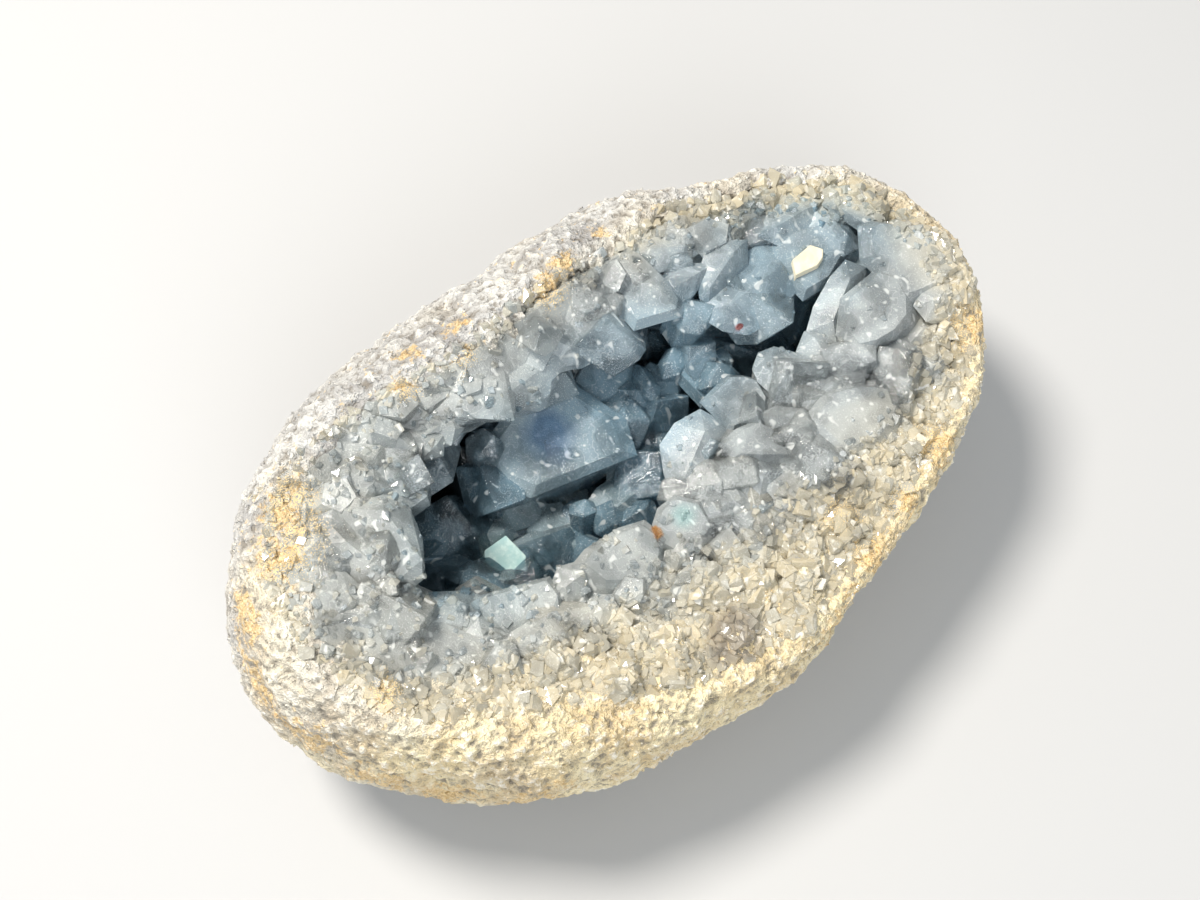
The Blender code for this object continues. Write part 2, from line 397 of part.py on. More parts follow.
def mesh_object(name, verts, faces, scale=MM):
    """A triangulated mesh object with its faces turned outwards."""
    mesh = bpy.data.meshes.new(name)
    mesh.from_pydata([tuple(c * scale for c in vert) for vert in verts], [], faces)
    work = bmesh.new()
    work.from_mesh(mesh)
    bmesh.ops.triangulate(work, faces=work.faces)
    bmesh.ops.recalc_face_normals(work, faces=work.faces)
    if work.calc_volume(signed=True) < 0.0:
        bmesh.ops.reverse_faces(work, faces=work.faces)
    work.to_mesh(mesh)
    work.free()
    made = bpy.data.objects.new(name, mesh)
    bpy.context.scene.collection.objects.link(made)
    return made


def outer_rings(table):
    """The nodule's outside, from the flat spot it rests on up to the rim."""
    widest, rim, rim_height = table[:, 0], table[:, 1], table[:, 2]
    rings = []
    for share in (0.5, 1.0):
        rings.append(ring(np.full(COLUMNS, BASE_RADIUS * share), np.zeros(COLUMNS)))
    for step in range(1, 7):
        t = step / 6 * math.pi / 2
        radii = BASE_RADIUS + (widest - BASE_RADIUS) * math.sin(t) ** 0.92
        heights = np.full(COLUMNS, WIDEST_HEIGHT * (1.0 - math.cos(t) ** 1.05))
        rings.append(lumps(ring(radii, heights), 14.0, 1.8 * step / 6, 3.0))
    for step in range(1, 6):
        t = step / 5 * math.pi / 2
        radii = rim + (widest - rim) * math.cos(t)
        heights = WIDEST_HEIGHT + (rim_height - WIDEST_HEIGHT) * math.sin(t)
        rings.append(lumps(ring(radii, heights), 12.0, 1.7, 3.0))
    return rings


def inner_rings(table):
    """The stone's inside wall, from the rim's inner corner down to the cavity floor."""
    widest, rim, rim_height = table[:, 0], table[:, 1], table[:, 2]
    mouth = rim - table[:, 5]
    deep = np.minimum(widest - WALL, mouth + 12.0)
    waist = WIDEST_HEIGHT + 1.0
    rings = [ring(mouth, rim_height - 0.6)]
    for step in (1, 2):
        t = step / 2 * math.pi / 2
        radii = mouth + (deep - mouth) * math.sin(t)
        heights = waist + (rim_height - 0.6 - waist) * math.cos(t)
        rings.append(ring(radii, heights))
    for step in range(1, 5):
        t = step / 5 * math.pi / 2
        radii = deep * math.cos(t)
        heights = np.full(COLUMNS, waist - (waist - CAVITY_FLOOR) * math.sin(t))
        rings.append(ring(radii, heights))
    return rings


def pushed(rings, bottom, amount):
    """Rings moved along the inside wall's own normal, into the cavity."""
    grid = np.array(rings)
    along = np.roll(grid, -1, axis=1) - np.roll(grid, 1, axis=1)
    down = np.zeros_like(grid)
    down[1:-1] = grid[2:] - grid[:-2]
    down[0] = grid[1] - grid[0]
    down[-1] = np.array(bottom) - grid[-2]
    normal = np.cross(along, down)
    normal /= np.linalg.norm(normal, axis=2)[:, :, None]
    middle = np.array((0.0, 0.0, WIDEST_HEIGHT + 4.0))
    side = np.sum(normal[2:] * (middle - grid[2:]))
    normal *= 1.0 if side > 0.0 else -1.0
    return list(grid + normal * amount)


def make_shell(table):
    outside = outer_rings(table)
    inside = inner_rings(table)
    verts, faces = loft(outside + inside, (0.0, 0.0, 0.0), (0.0, 0.0, CAVITY_FLOOR))
    return mesh_object("geode_shell", verts, faces)


def make_bed(table):
    """The room the crystals may fill: the stone's inside, open upwards."""
    inside = inner_rings(table)
    floor = (0.0, 0.0, CAVITY_FLOOR)
    wall = pushed(inside, floor, CRUST_GAP)
    mouth = table[:, 1] - table[:, 5]
    step = ring(mouth - 0.8, table[:, 2] - 0.4)
    flare = ring(mouth + 8.0, table[:, 2] + 8.0)
    lid = flare.copy()
    lid[:, :2] *= 0.5
    lid[:, 2] = 80.0
    rings = list(reversed(wall)) + [step, flare, lid]
    verts, faces = loft(rings, (0.0, 0.0, CAVITY_FLOOR + CRUST_GAP), (0.0, 0.0, 80.0))
    return mesh_object("bed", verts, faces)


def crust_surface(table):
    """Rings of the crust's free surface, from the rim over the lip to the floor."""
    rim, rim_height, lip, wall = table[:, 1], table[:, 2], table[:, 3], table[:, 4]
    mouth = rim - table[:, 5]
    lip_height = np.zeros(COLUMNS)
    for column in range(COLUMNS):
        x, y = around(column) * lip[column]
        lip_height[column] = SLOPE[0] + SLOPE[1] * x + SLOPE[2] * y - LIP_DROP
    rings = []
    for share in (0.0, 0.25, 0.5, 0.78):
        radii = mouth + (lip - mouth) * share
        sag = 0.7 * math.sin(share * math.pi)
        rings.append(ring(radii, rim_height - 0.5 + (lip_height - rim_height) * share - sag))
    rings.append(ring(lip, lip_height - 1.6))
    for share, drop in ((0.55, 0.25), (1.0, 0.6)):
        radii = lip + (wall - lip) * share
        rings.append(ring(radii, lip_height + (21.0 - lip_height) * drop))
    rings.append(ring(wall * 0.84, np.full(COLUMNS, 18.5)))
    rings.append(ring(wall * 0.45, np.full(COLUMNS, 16.5)))
    bumped = [rings[0]]
    for level, one in enumerate(rings[1:]):
        bumped.append(lumps(one, 4.6, 2.6, 11.0 + level))
    return bumped


def make_crust_base(table):
    """The crystalline lining the crystals grow from, a little proud of its bed."""
    floor = (0.0, 0.0, CAVITY_FLOOR)
    back = pushed(inner_rings(table), floor, -1.2)
    top = crust_surface(table)
    rings = list(reversed(back[1:])) + top
    verts, faces = loft(rings, (0.0, 0.0, CAVITY_FLOOR - 1.2), (0.0, 0.0, CRUST_FLOOR))
    return mesh_object("lining", verts, faces)


def hull_object(name, points):
    """The closed convex solid round the points."""
    work = bmesh.new()
    for point in points:
        work.verts.new(tuple(c * MM for c in point))
    made = bmesh.ops.convex_hull(work, input=work.verts)
    spare = {item for key in ("geom_interior", "geom_unused") for item in made[key]}
    loose = [item for item in spare if isinstance(item, bmesh.types.BMVert)]
    bmesh.ops.delete(work, geom=loose, context="VERTS")
    bmesh.ops.recalc_face_normals(work, faces=work.faces)
    mesh = bpy.data.meshes.new(name)
    work.to_mesh(mesh)
    work.free()
    made = bpy.data.objects.new(name, mesh)
    bpy.context.scene.collection.objects.link(made)
    return made


def placed(x, y, z, read):
    """The true place of a point read at one height that really lies at z."""
    return np.array((x - SIGHT_SHIFT[0] * (z - read), y - SIGHT_SHIFT[1] * (z - read), z))


def seen_crystal(name, row, read):
    """A crystal from its outline, its capping faces and the part rooted in the crust."""
    outline, height, slope, cap, rise, depth = row
    flat = np.array(outline)
    middle = flat.mean(axis=0)
    flat = middle + (flat - middle) * OUTLINE_GROWTH
    face = []
    for x, y in flat:
        z = height + slope[0] * (x - middle[0]) + slope[1] * (y - middle[1])
        face.append(placed(x, y, z, read))
    face = np.array(face)
    centre = face.mean(axis=0)
    up = np.array((-slope[0], -slope[1], 1.0))
    up /= np.linalg.norm(up)
    spread = face - centre
    long_way = np.linalg.svd(spread, full_matrices=False)[2][0]
    half = np.max(np.abs(spread @ long_way))
    if cap == "table":
        top = centre + spread * 0.8 + up * rise
    elif cap == "ridge":
        top = np.array([centre + long_way * half * k + up * rise for k in (-0.5, 0.5)])
    else:
        top = np.array([centre + up * rise])
    away = np.array((centre[0] * 0.02, centre[1] * 0.035, -1.0))
    away /= np.linalg.norm(away)
    root = centre + spread[::2] * 0.97 + away * depth
    shoulder = face - up * 0.5
    return hull_object(name, np.vstack((top, shoulder, root)))


def grown_crystal(name, foot, direction, width, length, turn, rng):
    """A small stout prism with a chisel end, standing on the wall."""
    axis = np.array(direction) / np.linalg.norm(direction)
    side = np.cross(axis, (0.0, 0.0, 1.0) if abs(axis[2]) < 0.9 else (1.0, 0.0, 0.0))
    side /= np.linalg.norm(side)
    other = np.cross(axis, side)
    a = side * math.cos(turn) + other * math.sin(turn)
    b = np.cross(axis, a)
    slim = rng.uniform(0.6, 0.9)
    section = ((1.0, 0.0), (0.45, slim), (-0.45, slim), (-1.0, 0.0), (-0.45, -slim), (0.45, -slim))
    foot = np.array(foot)
    points = []
    for u, v in section:
        flat = a * u * width + b * v * width
        points.append(foot + flat * 0.9 - axis * 3.5)
        points.append(foot + flat + axis * length * 0.62)
    for k in (-0.4, 0.4):
        points.append(foot + a * k * width + axis * length)
    return hull_object(name, points)


def broken_blocks(table, rng):
    """Low seeded blocks that break up the crust between the rim and the lip."""
    made = []
    for count, angles, shares, widths, sink in RIM_BLOCKS:
        for at in range(count):
            degrees = angles[0] + (angles[1] - angles[0]) * (at + rng.random()) / count
            column = int(round((degrees % 360.0) / 360.0 * COLUMNS)) % COLUMNS
            mouth = table[column, 1] - table[column, 5]
            share = rng.uniform(*shares)
            radius = mouth + (table[column, 3] - mouth) * share
            x, y = around(column) * radius
            height = SLOPE[0] + SLOPE[1] * x + SLOPE[2] * y - LIP_DROP * share - sink
            direction = (rng.uniform(-0.5, 0.5), rng.uniform(-0.7, 0.3), 1.0)
            width = rng.uniform(*widths)
            made.append(grown_crystal("rim_%d_%d" % (int(angles[1]), at), (x, y, height),
                                      direction, width, width * rng.uniform(0.45, 0.75),
                                      rng.uniform(0.0, math.pi), rng))
    return made


def wall_crystals(table, rng):
    """Seeded crystals on the lining's hidden walls and between the floor blocks."""
    made = []
    for count, angles, heights, widths in WALL_CRYSTALS:
        for at in range(count):
            degrees = angles[0] + (angles[1] - angles[0]) * (at + rng.random()) / count
            column = int(round((degrees % 360.0) / 360.0 * COLUMNS)) % COLUMNS
            height = rng.uniform(*heights)
            flat = around(column)
            radius = table[column, 4] * (0.99 if height > 20.0 else 0.93)
            foot = (flat[0] * radius, flat[1] * radius, height)
            lean = rng.uniform(-0.35, 0.35)
            direction = (-flat[0] - flat[1] * lean, -flat[1] + flat[0] * lean,
                         rng.uniform(-0.1, 0.5))
            width = rng.uniform(*widths)
            made.append(grown_crystal("wall_%d_%d" % (int(angles[1]), at), foot, direction,
                                      width, width * rng.uniform(1.2, 1.9),
                                      rng.uniform(0.0, math.pi), rng))
    for at in range(FLOOR_INFILL):
        angle = rng.uniform(0.0, 2.0 * math.pi)
        share = math.sqrt(rng.random())
        foot = (-2.0 + 38.0 * share * math.cos(angle), 13.0 * share * math.sin(angle), 16.0)
        direction = (rng.uniform(-0.35, 0.35), rng.uniform(-0.35, 0.35), 1.0)
        width = rng.uniform(2.8, 4.4)
        made.append(grown_crystal("floor_%d" % at, foot, direction, width,
                                  width * rng.uniform(1.3, 2.1),
                                  rng.uniform(0.0, math.pi), rng))
    return made


def solved(base, operation, others):
    """The base after one exact boolean with the other solids, which are used up."""
    group = bpy.data.collections.new("operands")
    bpy.context.scene.collection.children.link(group)
    for other in others:
        bpy.context.scene.collection.objects.unlink(other)
        group.objects.link(other)
    step = base.modifiers.new("join", "BOOLEAN")
    step.operand_type = "COLLECTION"
    step.collection = group
    step.operation = operation
    step.solver = "EXACT"
    graph = bpy.context.evaluated_depsgraph_get()
    mesh = bpy.data.meshes.new_from_object(base.evaluated_get(graph))
    base.modifiers.clear()
    base.data = mesh
    for other in others:
        bpy.data.objects.remove(other, do_unlink=True)
    bpy.data.collections.remove(group)
    return base


def simplified(made, share):
    """The same body with its shortest edges folded away."""
    step = made.modifiers.new("fewer", "DECIMATE")
    step.ratio = share
    graph = bpy.context.evaluated_depsgraph_get()
    mesh = bpy.data.meshes.new_from_object(made.evaluated_get(graph))
    made.modifiers.clear()
    made.data = mesh


def keep_largest(made):
    """Drop any crumb left over that isn't joined to the main body."""
    work = bmesh.new()
    work.from_mesh(made.data)
    bmesh.ops.remove_doubles(work, verts=work.verts, dist=1e-6)
    left = set(work.verts)
    groups = []
    while left:
        seed = left.pop()
        group = {seed}
        queue = [seed]
        while queue:
            vert = queue.pop()
            for edge in vert.link_edges:
                other = edge.other_vert(vert)
                if other in left:
                    left.discard(other)
                    group.add(other)
                    queue.append(other)
        groups.append(group)
    groups.sort(key=len)
    for group in groups[:-1]:
        bmesh.ops.delete(work, geom=list(group), context="VERTS")
    work.to_mesh(made.data)
    work.free()


def make_crust(table):
    rng = random.Random(SEED)
    crystals = []
    for label, rows, read in (("floor", FLOOR_CRYSTALS, FLOOR_READ),
                              ("right", RIGHT_CRYSTALS, RIGHT_READ),
                              ("near", NEAR_CRYSTALS, NEAR_READ),
                              ("high", HIGH_CRYSTALS, HIGH_READ)):
        for at, row in enumerate(rows):
            crystals.append(seen_crystal("%s_seen_%d" % (label, at), row, read))
    crystals += wall_crystals(table, rng)
    crystals += broken_blocks(table, rng)
    crust = solved(make_crust_base(table), "UNION", crystals)
    crust = solved(crust, "INTERSECT", [make_bed(table)])
    keep_largest(crust)
    simplified(crust, 0.64)
    crust.name = "crystal_crust"
    crust.data.name = "crystal_crust"
    return crust


def paint(made, name, colour, roughness):
    material = bpy.data.materials.new(name)
    material.use_nodes = True
    shader = material.node_tree.nodes["Principled BSDF"]
    shader.inputs["Base Color"].default_value = (*colour, 1.0)
    shader.inputs["Roughness"].default_value = roughness
    shader.inputs["Metallic"].default_value = 0.0
    made.data.materials.clear()
    made.data.materials.append(material)


def centred(parts):
    """Move the parts together so that the origin is under the middle of their box."""
    corners = np.array([vert.co for part in parts for vert in part.data.vertices])
    middle = (corners.min(axis=0) + corners.max(axis=0)) / 2
    for part in parts:
        for vert in part.data.vertices:
            vert.co -= Vector((middle[0], middle[1], 0.0))


clear_scene()
TABLE = ring_table()
shell = make_shell(TABLE)
crust = make_crust(TABLE)
centred((shell, crust))
paint(shell, "stone_skin", (0.62, 0.57, 0.48), 0.85)
paint(crust, "celestite", (0.45, 0.56, 0.64), 0.22)
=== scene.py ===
"""Looks of the celestite geode: a sugary stone skin round a hollow of pale blue crystals.

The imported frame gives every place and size. Lengths in the tables are millimetres.
"""

import math

import bmesh
import bpy
import numpy as np
from mathutils import Matrix, Vector, noise
from mathutils.bvhtree import BVHTree
from mathutils.kdtree import KDTree


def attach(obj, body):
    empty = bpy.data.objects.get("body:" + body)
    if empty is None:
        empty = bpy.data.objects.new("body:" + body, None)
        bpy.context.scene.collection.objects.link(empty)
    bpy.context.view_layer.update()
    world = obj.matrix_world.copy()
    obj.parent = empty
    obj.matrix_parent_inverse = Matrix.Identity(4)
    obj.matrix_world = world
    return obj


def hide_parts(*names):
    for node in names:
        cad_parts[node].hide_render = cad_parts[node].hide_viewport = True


MM = 0.001
SEED = 7

# The photograph's viewpoint.
VIEW_AZIMUTH = -40.0
VIEW_ELEVATION = 65.0
VIEW_DISTANCE = 242.0
VIEW_LENS = 48.0
VIEW_AIM = (-1.4, 5.2, 28.0)

# Stone skin: longest edge of its mesh where it shows and underneath, in mm.
SKIN_EDGE_TOP = 0.46
SKIN_EDGE_UNDER = 1.7
SKIN_FLAT = 1.2
INSIDE_KEPT = 7.0

# How far a crystal face may turn from its neighbour and still be one face, in degrees,
# and the smallest face that counts as a crystal's own, in square mm.
SAME_FACE_TURN = 6.0
OWN_FACE_AREA = 13.0

# Grid step of the crust's relief, how far a crystal's level reaches, and how deep under
# the broken face the hollow begins, in mm.
RELIEF_STEP = 1.0
LEVEL_REACH = 4.0
HOLLOW_DEPTH = 8.0
HOLLOW_CLEAR = 3.2

# How many fine chips lie on the crystals.
CHIPS = 4600

# Columns round the rim and rows across it in the sugary crust over the rim.
MANTLE_COLUMNS = 760
MANTLE_ROWS = 26


def rough(point, size, offset):
    """Soft noise of one grain size, in -1 to 1."""
    return noise.noise(Vector((point[0] / size + offset, point[1] / size, point[2] / size)))


def new_mesh(name, verts, faces):
    mesh = bpy.data.meshes.new(name)
    mesh.from_pydata(verts, [], faces)
    made = bpy.data.objects.new(name, mesh)
    bpy.context.scene.collection.objects.link(made)
    return made


def welded(node):
    """A bmesh of a CAD node with its split corners joined again."""
    work = bmesh.new()
    work.from_mesh(node.data)
    bmesh.ops.remove_doubles(work, verts=work.verts, dist=2e-6)
    return work


class Stone:
    """Measures of the nodule, worked out from the frame."""

    def __init__(self, shell):
        points = np.array([vert.co for vert in shell.data.vertices]) / MM
        self.middle = (points.min(axis=0) + points.max(axis=0)) / 2
        self.high = points[:, 2].max()
        angles = np.arctan2(points[:, 1], points[:, 0])
        crest = []
        for sector in range(-24, 24):
            near = np.abs(angles - (sector + 0.5) * math.pi / 24) < math.pi / 44
            if near.any():
                crest.append(points[near][np.argmax(points[near][:, 2])])
        self.crest = np.array(crest)
        ones = np.ones(len(crest))
        flat = np.column_stack((self.crest[:, 0], self.crest[:, 1], ones))
        self.plane = np.linalg.lstsq(flat, self.crest[:, 2], rcond=None)[0]
        self.tree = KDTree(len(crest) * 8)
        for at in range(len(crest)):
            a, b = self.crest[at], self.crest[(at + 1) % len(crest)]
            for step in range(8):
                self.tree.insert(a + (b - a) * step / 8, at * 8 + step)
        self.tree.balance()
        work = welded(shell)
        core = Vector((0.0, 0.0, points[:, 2].mean() * MM))
        inner = [face for face in work.faces if face.normal.dot(face.calc_center_median() - core) < 0.0]
        bmesh.ops.delete(work, geom=inner, context="FACES")
        self.outer = BVHTree.FromBMesh(work)
        work.free()
        turn = np.arctan2(self.crest[:, 1], self.crest[:, 0])
        order = np.argsort(turn)
        self.turns = turn[order]
        self.reach = np.hypot(self.crest[order, 0], self.crest[order, 1])

    def crest_radius(self, angle):
        """How far out the rim lies in a direction, in mm."""
        return np.interp(angle, self.turns, self.reach, period=2.0 * math.pi)

    def depth(self, point):
        """How far a point lies under the broken face, in mm."""
        return self.plane[0] * point[0] + self.plane[1] * point[1] + self.plane[2] - point[2]

    def holds(self, seed):
        """Whether a crystal stays inside the stone's outer face."""
        place, direction, size = seed[:3]
        middle = Vector(place + np.array(direction) / np.linalg.norm(direction) * size * 0.2) * MM
        near, normal, _, away = self.outer.find_nearest(middle)
        return away > size * 1.25 * MM and (middle - near).dot(normal) < 0.0

    def from_crest(self, point):
        """Distance to the stone's rim, in mm."""
        return self.tree.find(point)[2]


# Materials

def node(tree, kind, **values):
    made = tree.nodes.new(kind)
    for key, value in values.items():
        setattr(made, key, value)
    return made


def value_noise(tree, coords, scale, detail=2.0, roughness=0.5):
    made = node(tree, "ShaderNodeTexNoise")
    made.inputs["Scale"].default_value = scale
    made.inputs["Detail"].default_value = detail
    made.inputs["Roughness"].default_value = roughness
    tree.links.new(coords, made.inputs["Vector"])
    return made.outputs["Fac"]


def ranged(tree, value, low, high, to_low=0.0, to_high=1.0):
    made = node(tree, "ShaderNodeMapRange")
    for key, number in (("From Min", low), ("From Max", high), ("To Min", to_low),
                        ("To Max", to_high)):
        made.inputs[key].default_value = number
    tree.links.new(value, made.inputs["Value"])
    return made.outputs["Result"]


def maths(tree, operation, a, b=None):
    made = node(tree, "ShaderNodeMath", operation=operation)
    for socket, value in zip(made.inputs, (a, b)):
        if value is None:
            continue
        if isinstance(value, (int, float)):
            socket.default_value = value
        else:
            tree.links.new(value, socket)
    return made.outputs["Value"]


def mixed(tree, share, a, b, blend="MIX"):
    made = node(tree, "ShaderNodeMix", data_type="RGBA", blend_type=blend)
    sockets = (made.inputs[0], made.inputs[6], made.inputs[7])
    for socket, value in zip(sockets, (share, a, b)):
        if isinstance(value, (int, float)):
            socket.default_value = value
        elif isinstance(value, tuple):
            socket.default_value = (*value, 1.0)
        else:
            tree.links.new(value, socket)
    return made.outputs[2]


def attribute(tree, name):
    return node(tree, "ShaderNodeAttribute", attribute_name=name).outputs["Fac"]


def bumped(tree, heights, distance, strength):
    made = node(tree, "ShaderNodeBump")
    made.inputs["Distance"].default_value = distance
    made.inputs["Strength"].default_value = strength
    tree.links.new(heights, made.inputs["Height"])
    return made.outputs["Normal"]


def new_material(name):
    material = bpy.data.materials.new(name)
    material.use_nodes = True
    tree = material.node_tree
    shader = tree.nodes["Principled BSDF"]
    coords = node(tree, "ShaderNodeTexCoord").outputs["Object"]
    return material, tree, shader, coords


def skin_material():
    """Sugary stone: grey and cream with orange-yellow stains, with painted highlight on its raised grains
    and painted shade in its pits.
    """
    material, tree, shader, coords = new_material("sugary_stone")
    link = tree.links.new
    warm = attribute(tree, "warm")
    stain = attribute(tree, "stain")
    relief = attribute(tree, "relief")
    broad = value_noise(tree, coords, 130.0, 3.0, 0.65)
    grain = value_noise(tree, coords, 850.0, 3.0, 0.7)
    speck = value_noise(tree, coords, 3000.0, 1.0, 0.5)
    patchy = ranged(tree, broad, 0.38, 0.62)
    grey = mixed(tree, patchy, (0.41, 0.40, 0.39), (0.70, 0.69, 0.66))
    cream = mixed(tree, patchy, (0.74, 0.58, 0.33), (0.93, 0.81, 0.53))
    colour = mixed(tree, warm, grey, cream)
    # Painted highlight and painted shade: pale where the relief stands high, dark brown where it sinks into
    # pits.
    painted_light_height = maths(tree, "ADD", relief, ranged(tree, grain, 0.3, 0.7, -0.8, 0.8))
    colour = mixed(tree, ranged(tree, painted_light_height, 0.1, 0.9, 0.0, 0.75), colour, (0.97, 0.95, 0.88))
    colour = mixed(tree, ranged(tree, painted_light_height, -0.2, -1.1, 0.0, 0.85), colour, (0.26, 0.23, 0.19))
    ochre = mixed(tree, ranged(tree, speck, 0.4, 0.6), (0.62, 0.40, 0.15), (0.88, 0.67, 0.36))
    patch = maths(tree, "ADD", stain, ranged(tree, grain, 0.3, 0.7, -0.7, 0.7))
    colour = mixed(tree, ranged(tree, patch, 0.4, 0.85, 0.0, 0.85), colour, ochre)
    link(colour, shader.inputs["Base Color"])
    link(ranged(tree, speck, 0.35, 0.65, 0.35, 0.9), shader.inputs["Roughness"])
    link(bumped(tree, grain, 0.0013, 1.0), shader.inputs["Normal"])
    shader.inputs["IOR"].default_value = 1.55
    return material


def streaks(tree, coords, turn):
    """Thin straight slivers, the fractures that catch light inside a crystal."""
    place = node(tree, "ShaderNodeMapping")
    place.inputs["Rotation"].default_value = turn
    place.inputs["Scale"].default_value = (1.0, 1.0, 0.1)
    tree.links.new(coords, place.inputs["Vector"])
    return value_noise(tree, place.outputs["Vector"], 900.0, 0.0, 0.5)


# Coloured spots on the crystals: place and reach in mm, share and colour. The pale turquoise spot is a
# painted reflection and the greyish brown one on the near side is painted shade in a recess.
CRYSTAL_SPOTS_AND_PAINTED_LIGHT = (
    ((-7.2, 10.0, 34.3), 5.0, 0.8, (0.12, 0.26, 0.46)),
    ((24.0, 3.1, 39.7), 0.5, 1.0, (0.36, 0.03, 0.02)),
    ((-6.5, -12.9, 38.1), 1.0, 1.0, (0.80, 0.42, 0.16)),
    ((-2.2, -14.0, 38.8), 2.6, 0.7, (0.50, 0.76, 0.74)),
    ((-7.0, -31.0, 33.5), 5.5, 0.6, (0.40, 0.34, 0.28)),
)


def celestite_material(name, clear, large):
    """Clouded blue crystal with frosted patches, healed cracks and bright slivers, with painted shade near
    black in the hollow's darkest place and coloured spots, among them a painted reflection and a patch of
    painted shade.

    Only the large crystals are deep enough for the colour their absorption gives.
    """
    material, tree, shader, coords = new_material(name)
    link = tree.links.new
    shade = attribute(tree, "shade")
    warm = attribute(tree, "warm")
    tint = attribute(tree, "tint")
    stain = attribute(tree, "stain")
    cloud = value_noise(tree, coords, 150.0, 3.0, 0.6)
    frost = value_noise(tree, coords, 4800.0, 1.0, 0.6)
    deep = (0.20, 0.33, 0.40)
    middle = (0.40, 0.60, 0.72)
    pale = (0.79, 0.83, 0.82)
    # Below zero the tone is painted shade, near black round the hollow's darkest place.
    low = mixed(tree, ranged(tree, shade, -0.4, 0.0), (0.02, 0.03, 0.035), deep)
    low = mixed(tree, ranged(tree, shade, 0.0, 0.4), low, middle)
    colour = mixed(tree, ranged(tree, shade, 0.4, 0.85), low, pale)
    colour = mixed(tree, ranged(tree, tint, 0.0, 1.0, 0.0, 0.45), colour, (0.55, 0.62, 0.68),
                   "MULTIPLY")
    colour = mixed(tree, ranged(tree, warm, 0.0, 1.0, 0.0, 0.95), colour, (0.91, 0.80, 0.57))
    line = maths(tree, "ABSOLUTE", maths(tree, "SUBTRACT", cloud, 0.5))
    crack = ranged(tree, line, 0.0, 0.006, 0.3, 0.0)
    sliver = ranged(tree, streaks(tree, coords, (0.5, 0.3, 0.9)), 0.7, 0.8, 0.0, 0.6)
    grains = maths(tree, "MULTIPLY", ranged(tree, frost, 0.6, 0.7),
                   ranged(tree, cloud, 0.4, 0.6, 0.1, 0.5))
    white = maths(tree, "MAXIMUM", sliver, maths(tree, "MAXIMUM", crack, grains))
    # The painted shade dims the white cracks, slivers and specks too.
    white = maths(tree, "MULTIPLY", white, ranged(tree, shade, -0.4, 0.2))
    colour = mixed(tree, white, colour, (0.94, 0.94, 0.90))
    # Spots of the crystals' own colour, with one painted reflection and one patch of painted shade among
    # them.
    for place, reach, share, spot_and_light_colour in CRYSTAL_SPOTS_AND_PAINTED_LIGHT:
        away = node(tree, "ShaderNodeVectorMath", operation="DISTANCE")
        away.inputs[1].default_value = tuple(value * MM for value in place)
        link(coords, away.inputs[0])
        ragged = maths(tree, "ADD", away.outputs["Value"], ranged(tree, cloud, 0.3, 0.7, -0.001, 0.001))
        inside = ranged(tree, ragged, reach * MM * 0.5, reach * MM, share, 0.0)
        colour = mixed(tree, inside, colour, spot_and_light_colour)
    rusty = ranged(tree, maths(tree, "ADD", stain, ranged(tree, frost, 0.3, 0.7, -0.5, 0.5)), 0.7, 1.0)
    colour = mixed(tree, rusty, colour, (0.86, 0.65, 0.34))
    white = maths(tree, "MAXIMUM", white, rusty)
    link(colour, shader.inputs["Base Color"])
    milky = maths(tree, "MULTIPLY", ranged(tree, cloud, 0.4, 0.65, 1.0, 0.6),
                  ranged(tree, tint, 0.0, 1.0, 1.0, 0.85))
    clearness = maths(tree, "MULTIPLY", milky, ranged(tree, warm, 0.0, 1.0, clear, clear * 0.65))
    clearness = maths(tree, "MULTIPLY", clearness, ranged(tree, white, 0.0, 1.0, 1.0, 0.15))
    link(clearness, shader.inputs["Transmission Weight"])
    link(ranged(tree, cloud, 0.42, 0.62, 0.03, 0.2), shader.inputs["Roughness"])
    shader.inputs["IOR"].default_value = 1.62
    if large:
        link(bumped(tree, frost, 0.0003, 0.4), shader.inputs["Normal"])
        absorb = node(tree, "ShaderNodeVolumeAbsorption")
        absorb.inputs["Color"].default_value = (0.55, 0.74, 0.86, 1.0)
        absorb.inputs["Density"].default_value = 40.0
        link(absorb.outputs["Volume"], tree.nodes["Material Output"].inputs["Volume"])
    return material


def painted_reflection_material(name, colour, edge_colour):
    """One flat crystal face with a painted reflection, in the colour given."""
    material, tree, shader, coords = new_material(name)
    cloud = value_noise(tree, coords, 700.0, 4.0, 0.6)
    toned = mixed(tree, ranged(tree, cloud, 0.4, 0.62), colour, edge_colour)
    tree.links.new(toned, shader.inputs["Base Color"])
    tree.links.new(ranged(tree, cloud, 0.4, 0.65, 0.12, 0.4), shader.inputs["Roughness"])
    tree.links.new(bumped(tree, cloud, 0.0003, 0.5), shader.inputs["Normal"])
    shader.inputs["IOR"].default_value = 1.62
    return material


# Stone skin

def refine(work, stone):
    """Split edges until the mesh is fine enough for grains where it shows."""
    for _ in range(6):
        long_edges = []
        for edge in work.edges:
            middle = (edge.verts[0].co + edge.verts[1].co) / 2
            facing = (edge.verts[0].normal + edge.verts[1].normal).z
            limit = SKIN_EDGE_TOP if facing > -0.5 and middle.z > 9.0 * MM else SKIN_EDGE_UNDER
            if edge.calc_length() > limit * MM * 1.35:
                long_edges.append(edge)
        if not long_edges:
            break
        bmesh.ops.subdivide_edges(work, edges=long_edges, cuts=1)
        bmesh.ops.triangulate(work, faces=[f for f in work.faces if len(f.verts) > 3])


def skin_relief(point):
    """Fine sugary relief of the skin, about -1 to 1."""
    fine = noise.ridged_multi_fractal(Vector(point) / 1.7, 0.8, 2.1, 3, 0.9, 2.0)
    return 1.1 * rough(point, 1.3, 71.0) + 0.35 * (fine - 1.2) + 0.7 * rough(point, 0.75, 83.0)


